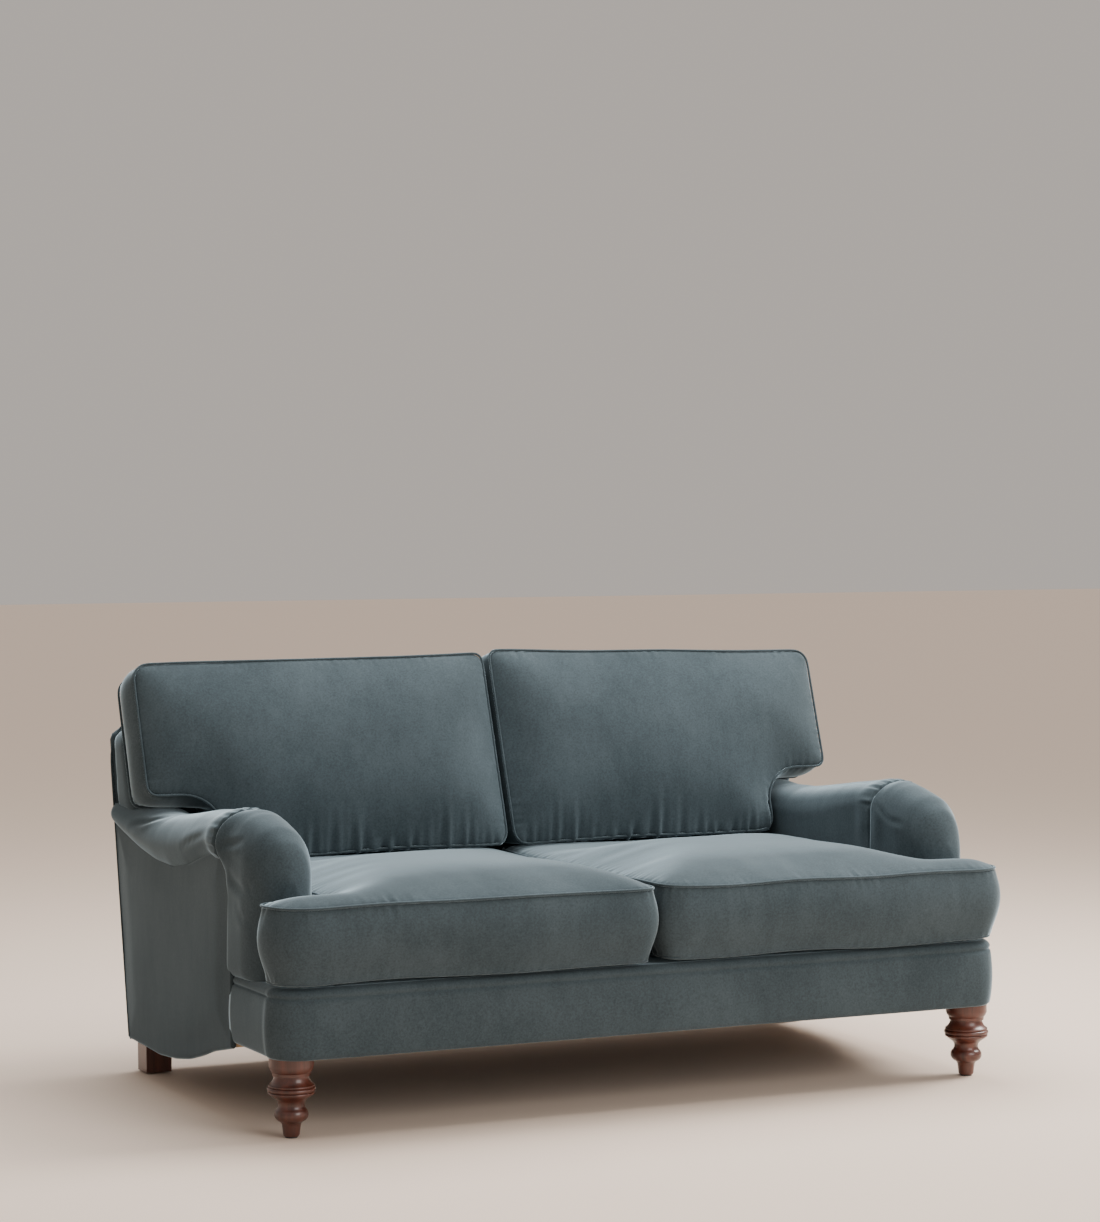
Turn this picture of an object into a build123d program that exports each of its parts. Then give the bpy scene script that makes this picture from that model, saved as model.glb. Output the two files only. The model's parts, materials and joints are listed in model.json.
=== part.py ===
from build123d import *
import os
from math import cos, radians, sin, sqrt, tan

# A two-seat sofa with low rolled arms, loose cushions and wooden legs, in millimetres.
# X runs along the sofa, the front faces -Y, Z is up and the floor is Z = 0.
# The origin is on the floor, at the middle of the sofa. "Right" is the +X side.

# Overall sizes
body_width = 1640.0        # over the two side covers
overall_depth = 1080.0     # nose of the seat cushions to the rear of the back
leg_height = 157.0         # floor to the underside of the seat rails
seat_thick = 185.0         # seat cushions
arm_rise = 135.0           # top of the arm front above the seat cushions
shoulder_rise = 110.0      # ends of the back above the arm front
crown_rise = 142.0         # middle of the back above its ends

# Upholstery
arm_width = 140.0          # inner face to outer face of an arm
cover_thick = 12.0         # padded outer panels
border_thick = 28.0        # padding over the front rail
border_lip = 13.0          # border stands above the front rail
border_corner = 67.0       # plan radius of the front corners
nose_overhang = 22.0       # seat cushions stand out past the border
border_return = 258.0      # border runs this far back along the sides
arm_setback = 110.0        # nose of the arm behind the border
arm_nose_rise = 140.0      # height of the rounded top of the arm front
arm_nose_depth = 201.0     # nose of the arm to its ring seam
arm_round = 48.0           # rounding of the arm front
roll_bulge = 14.0          # arm roll stands out past the side cover
side_drop = 89.0           # side cover hangs below the rails at the rear
scallop_rise = 78.0        # its lower edge rises this much to the front
deck_build = 28.0          # springs, felt and deck pad above the rails
arm_padding = 90.0         # top of the arm above its board
inner_arm_thick = 30.0
cover_clear = 4.0          # side cover and inner arm to the roll above them

# Back
frame_rake = 11.2          # lean of the back frame, degrees
cushion_rake = 18.0        # lean of the padded inner back
back_depth = 60.0          # depth of the back frame
inner_back_set = 188.0     # inner back to the rear face, at the deck
shoulder_run = 190.0       # sloping part of the top edge
shoulder_round = 26.0
crown_round = 170.0

# Cushions
seat_round = 34.0
back_cushion_thick = 155.0
cushion_rise = 16.0        # back cushions above the back
back_round = 40.0
cushion_gap = 5.0          # between the two cushions of a row
ear_out = 12.0             # cushion ears stand out past the side covers
ear_clear = 5.0            # ears to the arm nose and the arm roll
side_clear = 7.0           # cushions to the inner arms
soft_clear = 0.5           # cushions to the deck and the back
cloth = 2.5                # thickness of a cushion cover
core_clear = 0.4           # cover to the filling

# Timber
ply = 18.0
rail_thick = 32.0
rail_height = 105.0
post_width = 45.0
block_size = 78.0
board_thick = 20.0
leg_inset = 63.0           # front leg centre behind the border
leg_side_inset = 50.0      # front leg centre inside the side cover
rear_leg_size = 60.0
rear_leg_foot = 56.0
rear_leg_edge = 15.0       # rear leg inside the side cover
leg_scallop_gap = 14.0

# Fittings
glide_thick = 3.0
glide_radius = 12.0
bolt_radius = 5.0
bolt_in_leg = 45.0
bolt_in_block = 60.0
insert_radius = 8.0
insert_length = 22.0
hole_clear = 0.15
arm_bolt_radius = 4.0
arm_bolt_head = 10.0
arm_bolt_head_thick = 6.0
nut_radius = 8.0
nut_thick = 7.0
wire_radius = 2.0
spring_straight = 24.0     # straight part of each spring row
spring_pitch = 140.0
spring_row = 40.0
clip_width = 20.0
clip_depth = 13.0
clip_height = 8.0
felt_thick = 4.0
strap_width = 60.0
strap_thick = 2.0
strap_lap = 15.8           # middle of the top strap below the top rail
liner_thick = 1.5
liner_gap = 6.0

# Planes and lines that several pieces share
side_x = body_width / 2
ply_out_x = side_x - cover_thick
ply_in_x = ply_out_x - ply
arm_in_x = side_x - arm_width
nose_y = -overall_depth / 2
border_y = nose_y + nose_overhang
rail_front_y = border_y + border_thick
rail_back_y = rail_front_y + rail_thick
arm_nose_y = border_y + arm_setback
ring_y = arm_nose_y + arm_nose_depth
side_front_y = border_y + border_return
leg_x = side_x - leg_side_inset
leg_y = border_y + leg_inset
rail_top = leg_height + rail_height
border_height = rail_height + border_lip
border_top = leg_height + border_height
deck_height = rail_top + deck_build
seat_top = deck_height + seat_thick
arm_height = seat_top + arm_rise
shoulder_height = arm_height + shoulder_rise
back_height = shoulder_height + crown_rise
back_cushion_top = back_height + cushion_rise
cover_bottom = leg_height - side_drop
block_in_x = ply_in_x - block_size
block_back_y = rail_front_y + block_size
post_in_x = ply_in_x - post_width
board_top = arm_height - arm_padding
board_height = board_top - board_thick
wire_z = rail_top + clip_height / 2

frame_slope = tan(radians(frame_rake))
inner_slope = tan(radians(cushion_rake))
frame_level = (back_depth + cover_thick) / cos(radians(frame_rake))


def rear_y(z):
    """Rear face of the outer back at a height."""
    return overall_depth / 2 - frame_slope * (back_height - z)


def frame_y(z):
    """Front face of the back frame at a height."""
    return rear_y(z) - frame_level


def inner_y(z):
    """Front face of the padded inner back at a height."""
    return rear_y(deck_height) - inner_back_set + inner_slope * (z - deck_height)


def raked(angle, y, z):
    """A plane that leans back by an angle: local Y runs up it, local Z points forward."""
    lean = radians(angle)
    return Plane(origin=(0, y, z), x_dir=(1, 0, 0), z_dir=(0, -cos(lean), sin(lean)))


def up_frame(z):
    """Distance up the frame plane from the leg tops to a height."""
    return (z - leg_height) / cos(radians(frame_rake))


frame_plane = raked(frame_rake, frame_y(leg_height), leg_height)
rear_plane = raked(frame_rake, rear_y(leg_height), leg_height)

cover_run = cover_thick / cos(radians(frame_rake))
back_rail_y = rear_y(cover_bottom) - cover_run - 1.0
back_rail_front_y = back_rail_y - rail_thick
rear_leg_x = side_x - rear_leg_edge - rear_leg_size / 2
rear_leg_y = back_rail_y - rear_leg_size / 2
rear_bolt_x = (post_in_x + ply_in_x) / 2
rear_bolt_y = rear_leg_y + rear_leg_size / 5
leg_spots = [(leg_x, leg_y), (-leg_x, leg_y), (rear_bolt_x, rear_bolt_y), (-rear_bolt_x, rear_bolt_y)]
foot_spots = [(leg_x, leg_y), (-leg_x, leg_y), (rear_leg_x, rear_leg_y), (-rear_leg_x, rear_leg_y)]

arm_post_y = arm_nose_y + 75.0
arm_bolt_y = arm_post_y + post_width / 2
arm_bolt_levels = [leg_height + 0.3 * rail_height, leg_height + 0.7 * rail_height]
arm_post_out_x = ply_in_x - rail_thick
arm_post_in_x = arm_post_out_x - post_width

os.makedirs("parts", exist_ok=True)


def save(piece, label):
    piece.part.label = label
    export_step(piece.part, f"parts/{label}.step")


def save_pair(piece, label):
    """Writes the right-hand piece and its mirror image."""
    save(piece, f"{label}_right")
    with BuildPart() as twin:
        mirror(piece.part, about=Plane.YZ)
    save(twin, f"{label}_left")


def save_box(label, x, y, z, pair=False):
    """A plain board, given by its lowest and highest X, Y and Z."""
    with BuildPart() as board:
        with BuildSketch(Plane.XY.offset(z[0])):
            with Locations(((x[0] + x[1]) / 2, (y[0] + y[1]) / 2)):
                Rectangle(x[1] - x[0], y[1] - y[0])
        extrude(amount=z[1] - z[0])
    if pair:
        save_pair(board, label)
    else:
        save(board, label)
    return board.part


# Seat frame
save_box("seat_rail_front", (-block_in_x, block_in_x), (rail_front_y, rail_back_y), (leg_height, rail_top))
save_box("seat_rail_back", (-post_in_x, post_in_x), (back_rail_front_y, back_rail_y),
         (cover_bottom + 8.0, rail_top))
save_box("seat_cross_rail", (-post_width / 2, post_width / 2), (rail_back_y, back_rail_front_y),
         (leg_height, rail_top - rail_thick))

with BuildPart() as side_rail:
    with BuildSketch(Plane.XY.offset(leg_height)):
        with Locations((ply_in_x, block_back_y)):
            Rectangle(rail_thick, frame_y(leg_height) - block_back_y, align=(Align.MAX, Align.MIN))
    extrude(amount=rail_height)
    for level in arm_bolt_levels:
        with BuildSketch(Plane.YZ.offset(arm_post_out_x)):
            with Locations((arm_bolt_y, level)):
                Circle(arm_bolt_radius + hole_clear)
        extrude(amount=rail_thick, mode=Mode.SUBTRACT)
        with BuildSketch(Plane.YZ.offset(ply_in_x)):
            with Locations((arm_bolt_y, level)):
                Circle(arm_bolt_head + hole_clear)
        extrude(amount=-arm_bolt_head_thick, mode=Mode.SUBTRACT)
save_pair(side_rail, "seat_rail")

with BuildPart() as leg_block:
    with BuildSketch(Plane.XY.offset(leg_height)):
        with Locations((ply_in_x, rail_front_y)):
            Rectangle(block_size, block_size, align=(Align.MAX, Align.MIN))
    extrude(amount=rail_height)
    with BuildSketch(Plane.XY.offset(leg_height)):
        with Locations((leg_x, leg_y)):
            Circle(insert_radius + hole_clear)
    extrude(amount=insert_length, mode=Mode.SUBTRACT)
    with BuildSketch(Plane.XY.offset(leg_height)):
        with Locations((leg_x, leg_y)):
            Circle(bolt_radius + hole_clear)
    extrude(amount=bolt_in_block + 2.0, mode=Mode.SUBTRACT)
save_pair(leg_block, "leg_block")

# Back frame
post_top = up_frame(shoulder_height - 80.0)

with BuildPart() as back_post:
    with BuildSketch(frame_plane):
        with Locations((ply_in_x, -board_thick)):
            Rectangle(post_width, post_top + board_thick, align=(Align.MAX, Align.MIN))
    extrude(amount=-back_depth)
    split(bisect_by=Plane.XY.offset(leg_height), keep=Keep.TOP)
    with BuildSketch(Plane.XY.offset(leg_height)):
        with Locations((rear_bolt_x, rear_bolt_y)):
            Circle(insert_radius + hole_clear)
    extrude(amount=insert_length, mode=Mode.SUBTRACT)
    with BuildSketch(Plane.XY.offset(leg_height)):
        with Locations((rear_bolt_x, rear_bolt_y)):
            Circle(bolt_radius + hole_clear)
    extrude(amount=bolt_in_block + 2.0, mode=Mode.SUBTRACT)
save_pair(back_post, "back_post")

with BuildPart() as back_upright:
    with BuildSketch(frame_plane):
        with Locations((0, 0)):
            Rectangle(post_width, post_top, align=(Align.CENTER, Align.MIN))
    extrude(amount=-back_depth)
    split(bisect_by=Plane.XY.offset(rail_top), keep=Keep.TOP)
save(back_upright, "back_upright")

with BuildPart() as tuck_rails:
    with BuildSketch(frame_plane):
        for side in (-1, 1):
            with Locations((side * (post_in_x + post_width / 2) / 2, up_frame(deck_height + 40.0))):
                Rectangle(post_in_x - post_width / 2, post_width)
    extrude(amount=-rail_thick)
save(tuck_rails, "back_tuck_rails")


def back_outline(bottom, inset):
    """Corners of the back's front view in the plane of the frame, with cut-down shoulders."""
    half = side_x - inset
    shoulder = up_frame(shoulder_height) - inset
    top = up_frame(back_height) - inset
    return [(-half, bottom), (-half, shoulder), (shoulder_run - half, top),
            (half - shoulder_run, top), (half, shoulder), (half, bottom)]


with BuildPart() as top_rail:
    with BuildSketch(frame_plane) as rail_face:
        with BuildLine():
            Polyline(*back_outline(post_top, side_x - ply_in_x), close=True)
        make_face()
        ends = rail_face.vertices().group_by(Axis.Y)
        fillet(ends[-1], crown_round)
    extrude(amount=-post_width)
save(top_rail, "back_top_rail")

strap_start = up_frame(deck_height + 105.0)
strap_pitch = (post_top - strap_lap - strap_start) / 3
with BuildPart() as straps:
    with BuildSketch(frame_plane):
        for step in range(4):
            with Locations((0, strap_start + step * strap_pitch)):
                Rectangle(2 * ply_in_x, strap_width)
    extrude(amount=strap_thick)
save(straps, "back_webbing")

# Arm frames
with BuildPart() as arm_post:
    with BuildSketch(Plane.XY.offset(leg_height)):
        with Locations((arm_post_in_x, arm_post_y)):
            Rectangle(post_width, post_width, align=(Align.MIN, Align.MIN))
    extrude(amount=board_height - leg_height)
    with BuildSketch(Plane.YZ.offset(arm_post_in_x)):
        for level in arm_bolt_levels:
            with Locations((arm_bolt_y, level)):
                Circle(arm_bolt_radius + hole_clear)
    extrude(amount=post_width, mode=Mode.SUBTRACT)
save_pair(arm_post, "arm_post")

arm_board_end = frame_y(board_height) - 2.0 * strap_thick
save_box("arm_board", (arm_post_in_x, ply_out_x), (arm_post_y, arm_board_end),
         (board_height, board_top), pair=True)

leg_notch = rear_y(cover_bottom) - (rear_leg_y - rear_leg_size / 2) + leg_scallop_gap


def side_panel(x, thick, front, rear_inset, top_points):
    """An arm side of a thickness: raked rear edge, scalloped lower edge, a top line of two or three points."""
    low = cover_bottom
    rear_gap = rear_inset / cos(radians(frame_rake))
    high_front = low + scallop_rise
    swell = front + 0.45 * (rear_y(low) - front)
    with BuildPart() as panel:
        with BuildSketch(Plane.YZ.offset(x)):
            with BuildLine():
                leading = Line(top_points[0], (front, high_front))
                wave = Spline(leading @ 1, (swell, low + 0.2 * scallop_rise),
                              (rear_y(low) - leg_notch, low), tangents=((1, -0.12), (1, 0.0)))
                hem = Line(wave @ 1, (rear_y(low) - rear_gap, low))
                trailing = Line(hem @ 1, top_points[-1])
                if len(top_points) == 3:
                    ThreePointArc(trailing @ 1, top_points[1], leading @ 0)
                else:
                    Line(trailing @ 1, leading @ 0)
            make_face()
        extrude(amount=thick)
    return panel.part


ply_front_y = side_front_y + 5.0
ply_inset = cover_thick + 0.8
ply_back_y = rear_y(board_height) - ply_inset / cos(radians(frame_rake))
ply_panel = side_panel(ply_in_x, ply, ply_front_y, ply_inset,
                       [(ply_front_y, board_height), (ply_back_y, board_height)])
with BuildPart() as side_ply:
    add(ply_panel)
    with BuildSketch(Plane.YZ.offset(ply_in_x)):
        with Locations((rear_y(cover_bottom) - leg_notch, leg_height)):
            Rectangle(2 * leg_notch, side_drop + 40.0, align=(Align.MIN, Align.MAX))
    extrude(amount=ply, mode=Mode.SUBTRACT)
save_pair(side_ply, "side_ply")

# Legs
def turned(radius, level):
    """A point of the turned profile: level runs from 0 at the glide to 1 at the top of the leg."""
    return (radius, glide_thick + level * (leg_height - glide_thick))


with BuildPart() as front_leg:
    with BuildSketch(Plane(origin=(leg_x, leg_y, 0), x_dir=(1, 0, 0), z_dir=(0, -1, 0))):
        with BuildLine():
            foot = Polyline((0, glide_thick), (14.5, glide_thick), turned(16, 0.02), turned(18, 0.123))
            flare = ThreePointArc(foot @ 1, turned(20.5, 0.169), turned(26, 0.195))
            ring = ThreePointArc(flare @ 1, turned(33, 0.266), turned(28.5, 0.344))
            neck = ThreePointArc(ring @ 1, turned(25.5, 0.409), turned(31, 0.468))
            swell = ThreePointArc(neck @ 1, turned(38, 0.5), turned(43, 0.526))
            bead_1 = ThreePointArc(swell @ 1, turned(45.5, 0.545), turned(43.5, 0.565))
            bead_2 = ThreePointArc(bead_1 @ 1, turned(47, 0.594), turned(43.5, 0.623))
            bead_3 = ThreePointArc(bead_2 @ 1, turned(45, 0.64), turned(42.5, 0.656))
            cove = ThreePointArc(bead_3 @ 1, turned(36.5, 0.701), turned(34, 0.76))
            lip = Polyline(cove @ 1, turned(37, 0.766), turned(37.5, 0.805))
            cup = ThreePointArc(lip @ 1, turned(42, 0.844), turned(43.5, 0.903))
            Polyline(cup @ 1, (43.5, leg_height), (0, leg_height), (0, glide_thick))
        make_face()
    revolve(axis=Axis((leg_x, leg_y, 0), (0, 0, 1)))
    with BuildSketch(Plane.XY.offset(leg_height)):
        with Locations((leg_x, leg_y)):
            Circle(bolt_radius + hole_clear)
    extrude(amount=-bolt_in_leg, mode=Mode.SUBTRACT)
save_pair(front_leg, "front_leg")

with BuildPart() as rear_leg:
    with BuildSketch(Plane.XY.offset(glide_thick)):
        with Locations((rear_leg_x, rear_leg_y)):
            Rectangle(rear_leg_foot, rear_leg_foot)
    with BuildSketch(Plane.XY.offset(leg_height)):
        with Locations((rear_leg_x, rear_leg_y)):
            Rectangle(rear_leg_size, rear_leg_size)
    loft()
    fillet(rear_leg.edges().filter_by(GeomType.LINE).group_by(Axis.Z)[1], 3.0)
    with BuildSketch(Plane.XY.offset(leg_height)):
        with Locations((rear_bolt_x, rear_bolt_y)):
            Circle(bolt_radius + hole_clear)
    extrude(amount=-bolt_in_leg, mode=Mode.SUBTRACT)
save_pair(rear_leg, "rear_leg")

with BuildPart() as glides:
    with BuildSketch():
        with Locations(*foot_spots):
            Circle(glide_radius)
    extrude(amount=glide_thick)
save(glides, "leg_glides")

with BuildPart() as leg_bolts:
    with BuildSketch(Plane.XY.offset(leg_height - bolt_in_leg + 1.0)):
        with Locations(*leg_spots):
            Circle(bolt_radius)
    extrude(amount=bolt_in_leg + bolt_in_block - 1.0)
save(leg_bolts, "leg_bolts")

with BuildPart() as inserts:
    with BuildSketch(Plane.XY.offset(leg_height)):
        with Locations(*leg_spots):
            Circle(insert_radius)
            Circle(bolt_radius + hole_clear, mode=Mode.SUBTRACT)
    extrude(amount=insert_length - 0.2)
save(inserts, "leg_inserts")

with BuildPart() as arm_bolts:
    for side in (-1, 1):
        with BuildSketch(Plane.YZ.offset(side * ply_in_x)):
            for level in arm_bolt_levels:
                with Locations((arm_bolt_y, level)):
                    Circle(arm_bolt_head)
        extrude(amount=-side * arm_bolt_head_thick)
        with BuildSketch(Plane.YZ.offset(side * ply_in_x)):
            for level in arm_bolt_levels:
                with Locations((arm_bolt_y, level)):
                    Circle(arm_bolt_radius)
        extrude(amount=-side * (rail_thick + post_width + nut_thick + 2.0))
save(arm_bolts, "arm_bolts")

with BuildPart() as nuts:
    for side in (-1, 1):
        with BuildSketch(Plane.YZ.offset(side * arm_post_in_x)):
            for level in arm_bolt_levels:
                with Locations((arm_bolt_y, level)):
                    RegularPolygon(nut_radius, 6)
                    Circle(arm_bolt_radius + hole_clear, mode=Mode.SUBTRACT)
        extrude(amount=-side * nut_thick)
save(nuts, "arm_bolt_nuts")

# Seat springs, their clips, the felt and the deck
spring_front_y = rail_front_y + rail_thick / 2
spring_span = back_rail_front_y + rail_thick / 2 - spring_front_y
spring_rows = round(spring_span / spring_row)
spring_count = round(2 * arm_in_x / spring_pitch)
spring_spots = [(i - (spring_count - 1) / 2) * spring_pitch for i in range(spring_count)]
row_step = spring_span / spring_rows

with BuildPart() as springs:
    for spot in spring_spots:
        with BuildLine(Plane.XY.offset(wire_z)) as wire_path:
            for row in range(spring_rows + 1):
                way = 1 if row % 2 == 0 else -1
                y = spring_front_y + row * row_step
                edge = spot + way * spring_straight / 2
                Line((2 * spot - edge, y), (edge, y))
                if row < spring_rows:
                    ThreePointArc((edge, y), (edge + way * row_step / 2, y + row_step / 2), (edge, y + row_step))
        with BuildSketch(Plane(origin=wire_path.line @ 0, z_dir=wire_path.line % 0)):
            Circle(wire_radius)
        sweep(path=wire_path.line)
save(springs, "seat_springs")

with BuildPart() as clips:
    for spot in spring_spots:
        with BuildSketch(Plane.YZ.offset(spot - clip_width / 2)):
            with Locations((spring_front_y, wire_z), (spring_front_y + spring_span, wire_z)):
                Rectangle(clip_depth, clip_height)
                Circle(wire_radius + hole_clear, mode=Mode.SUBTRACT)
        extrude(amount=clip_width)
save(clips, "spring_clips")

felt_z = rail_top + clip_height
deck_back_y = frame_y(rail_top) - 4.0
save_box("spring_felt", (-arm_in_x, arm_in_x), (rail_front_y, deck_back_y), (felt_z, felt_z + felt_thick))
save_box("deck_pad", (-arm_in_x, arm_in_x), (rail_front_y, deck_back_y), (felt_z + felt_thick, deck_height))

with BuildPart() as edge_roll:
    with BuildSketch(Plane.YZ.offset(-arm_in_x)):
        with Locations((rail_front_y - 0.3, border_top)):
            Rectangle(border_thick - 2.0, deck_height - border_top, align=(Align.MAX, Align.MIN))
    extrude(amount=2 * arm_in_x)
    fillet(edge_roll.edges().filter_by(Axis.X).group_by(Axis.Z)[-1].sort_by(Axis.Y)[0], 10.0)
save(edge_roll, "edge_roll")

# Border round the front rail
border_end_x = side_x - border_corner
with BuildPart() as border_front:
    with BuildSketch(Plane.XY.offset(leg_height)):
        with Locations((0, border_y)):
            Rectangle(2 * border_end_x, border_thick, align=(Align.CENTER, Align.MIN))
    extrude(amount=border_height)
    fillet(border_front.edges().filter_by(Axis.X).sort_by(Axis.Y)[:2], 8.0)
save(border_front, "border_front")

with BuildPart() as border_side:
    with BuildSketch(Plane.XY.offset(leg_height)):
        with BuildLine():
            front = Line((border_end_x, rail_front_y), (border_end_x, border_y))
            corner = RadiusArc(front @ 1, (side_x, border_y + border_corner), -border_corner)
            outer = Line(corner @ 1, (side_x, side_front_y))
            end = Line(outer @ 1, (ply_in_x, side_front_y))
            inner = Line(end @ 1, (ply_in_x, rail_front_y))
            Line(inner @ 1, front @ 0)
        make_face()
    extrude(amount=border_height)
save_pair(border_side, "border_side")

# Arms: the rolled pad, the rounded front and the inner face
roll_mid_x = arm_in_x + (arm_width + roll_bulge) / 2
roll_half = (arm_width + roll_bulge) / 2 - 0.5
arm_back_y = frame_y(arm_height)
roll_stations = [
    (ring_y, arm_height - 50.0, 50.0, 0.0),
    (ring_y + 0.45 * (arm_back_y - ring_y), arm_height - 92.0, 48.0, 0.0),
    (arm_back_y + 8.0, arm_height - 64.0, 32.0, 8.0),
]


def roll_under(station, x):
    """Height of the arm roll's underside at a station, at a distance across the arm."""
    _, middle_z, half_height, pinch = roll_stations[station]
    across = min(abs(x - roll_mid_x) / (roll_half - pinch), 0.95)
    return middle_z - half_height * sqrt(1 - across**2)


arm_board_size = Box(ply_out_x - arm_post_in_x, arm_board_end - arm_post_y, board_thick, align=Align.MIN)
arm_board = Pos(arm_post_in_x, arm_post_y, board_height) * arm_board_size

with BuildPart() as arm_roll:
    for station_y, middle_z, half_height, pinch in roll_stations:
        section = Plane(origin=(roll_mid_x, station_y, middle_z), x_dir=(1, 0, 0), z_dir=(0, -1, 0))
        with BuildSketch(section):
            Ellipse(roll_half - pinch, half_height)
    loft()
    add(arm_board, mode=Mode.SUBTRACT)
    add(side_ply.part, mode=Mode.SUBTRACT)
    add(back_post.part, mode=Mode.SUBTRACT)
    add(straps.part, mode=Mode.SUBTRACT)
save_pair(arm_roll, "arm_roll")

with BuildPart() as arm_front:
    with BuildSketch(Plane.YZ.offset(arm_in_x)):
        with BuildLine():
            base = Line((side_front_y, border_top), (arm_nose_y + 4.0, border_top))
            shin = Line(base @ 1, (arm_nose_y, arm_height - arm_nose_rise))
            brow = EllipticalCenterArc((ring_y, arm_height - arm_nose_rise), arm_nose_depth,
                                       arm_nose_rise, start_angle=90, arc_size=90)
            step = Line((ring_y, arm_height), (ring_y, board_height))
            shelf = Line(step @ 1, (side_front_y, board_height))
            Line(shelf @ 1, base @ 0)
        make_face()
    extrude(amount=arm_width)
    rims = arm_front.edges().filter_by(
        lambda e: e.center().Y < arm_nose_y + 100.0 and abs(e.tangent_at(0.5).X) < 0.01
        and e.center().Z > border_top + 5.0)
    fillet(rims, arm_round)
    add(arm_post.part, mode=Mode.SUBTRACT)
    add(arm_board, mode=Mode.SUBTRACT)
save_pair(arm_front, "arm_front")

inner_arm_top = roll_under(1, arm_in_x + inner_arm_thick) - cover_clear
with BuildPart() as inner_arm:
    with BuildSketch(Plane.YZ.offset(arm_in_x)):
        with BuildLine():
            Polyline((side_front_y + 1.0, deck_height), (side_front_y + 1.0, inner_arm_top),
                     (inner_y(inner_arm_top) + 60.0, inner_arm_top),
                     (inner_y(deck_height) + 60.0, deck_height), close=True)
        make_face()
    extrude(amount=inner_arm_thick)
save_pair(inner_arm, "inner_arm")

cover_back_z = roll_under(2, ply_out_x + cover_thick / 2) - cover_clear
cover_top_line = [
    (side_front_y, board_height - soft_clear),
    (roll_stations[1][0], roll_under(1, side_x) - cover_clear),
    (rear_y(cover_back_z) - cover_run, cover_back_z),
]
cover_panel = side_panel(ply_out_x, cover_thick, side_front_y, cover_thick, cover_top_line)
with BuildPart() as side_cover:
    add(cover_panel)
    add(Pos(0, 0, -cover_clear) * arm_roll.part, mode=Mode.SUBTRACT)
save_pair(side_cover, "side_cover")

# Padded back
shoulder_base = arm_height - 22.0
with BuildPart() as shoulder_cover:
    with BuildSketch(Plane.YZ.offset(ply_in_x)):
        with BuildLine():
            Polyline((frame_y(shoulder_base), shoulder_base),
                     (rear_y(shoulder_base) - cover_thick / cos(radians(frame_rake)), shoulder_base),
                     (rear_y(shoulder_height) - cover_thick / cos(radians(frame_rake)), shoulder_height),
                     (frame_y(shoulder_height), shoulder_height), close=True)
        make_face()
    extrude(amount=cover_thick + ply)
    add(top_rail.part, mode=Mode.SUBTRACT)
    with BuildSketch(frame_plane) as keep_face:
        with BuildLine():
            Polyline(*back_outline(0, 0), close=True)
        make_face()
        fillet(keep_face.vertices().group_by(Axis.Y)[1], shoulder_round)
    extrude(amount=300, both=True, mode=Mode.INTERSECT)
save_pair(shoulder_cover, "shoulder_cover")

with BuildPart() as inner_back:
    pad_top = back_height + 30.0
    web_gap = strap_thick + 0.4
    with BuildSketch(Plane.YZ.offset(-side_x)):
        with BuildLine():
            Polyline((inner_y(deck_height), deck_height + 1.0),
                     (frame_y(deck_height) - web_gap, deck_height + 1.0),
                     (frame_y(pad_top) - web_gap, pad_top),
                     (inner_y(pad_top), pad_top), close=True)
        make_face()
    extrude(amount=body_width)
    with BuildSketch(frame_plane) as pad_face:
        with BuildLine():
            Polyline(*back_outline(0, 0), close=True)
        make_face()
        fillet(pad_face.vertices().group_by(Axis.Y)[1], shoulder_round)
        fillet(pad_face.vertices().group_by(Axis.Y)[-1], crown_round)
    extrude(amount=300, both=True, mode=Mode.INTERSECT)
    for side in (-1, 1):
        with BuildSketch(Plane.XY.offset(deck_height - 10.0)):
            with Locations((side * (arm_in_x - 1.0 + arm_width), 0)):
                Rectangle(2 * arm_width, 2 * overall_depth)
        extrude(amount=shoulder_base - deck_height + 10.0, mode=Mode.SUBTRACT)
save(inner_back, "back_inner_pad")

with BuildPart() as outer_back:
    with BuildSketch(rear_plane) as cover_face:
        with BuildLine():
            Polyline(*back_outline(up_frame(cover_bottom), 0), close=True)
        make_face()
        fillet(cover_face.vertices().group_by(Axis.Y)[1], shoulder_round)
        fillet(cover_face.vertices().group_by(Axis.Y)[-1], crown_round)
    extrude(amount=cover_thick)
save(outer_back, "back_outer_cover")

# Dust cover under the seat frame
with BuildPart() as dust_cover:
    with BuildSketch(Plane.XY.offset(leg_height - liner_thick)):
        with Locations((0, rail_front_y)):
            Rectangle(2 * (block_in_x - 5.0), back_rail_front_y - rail_front_y, align=(Align.CENTER, Align.MIN))
        with Locations((0, block_back_y + liner_gap)):
            Rectangle(2 * (ply_in_x - liner_gap), rear_leg_y - rear_leg_size / 2 - block_back_y - 2 * liner_gap,
                      align=(Align.CENTER, Align.MIN))
    extrude(amount=liner_thick)
save(dust_cover, "dust_cover")


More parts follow.
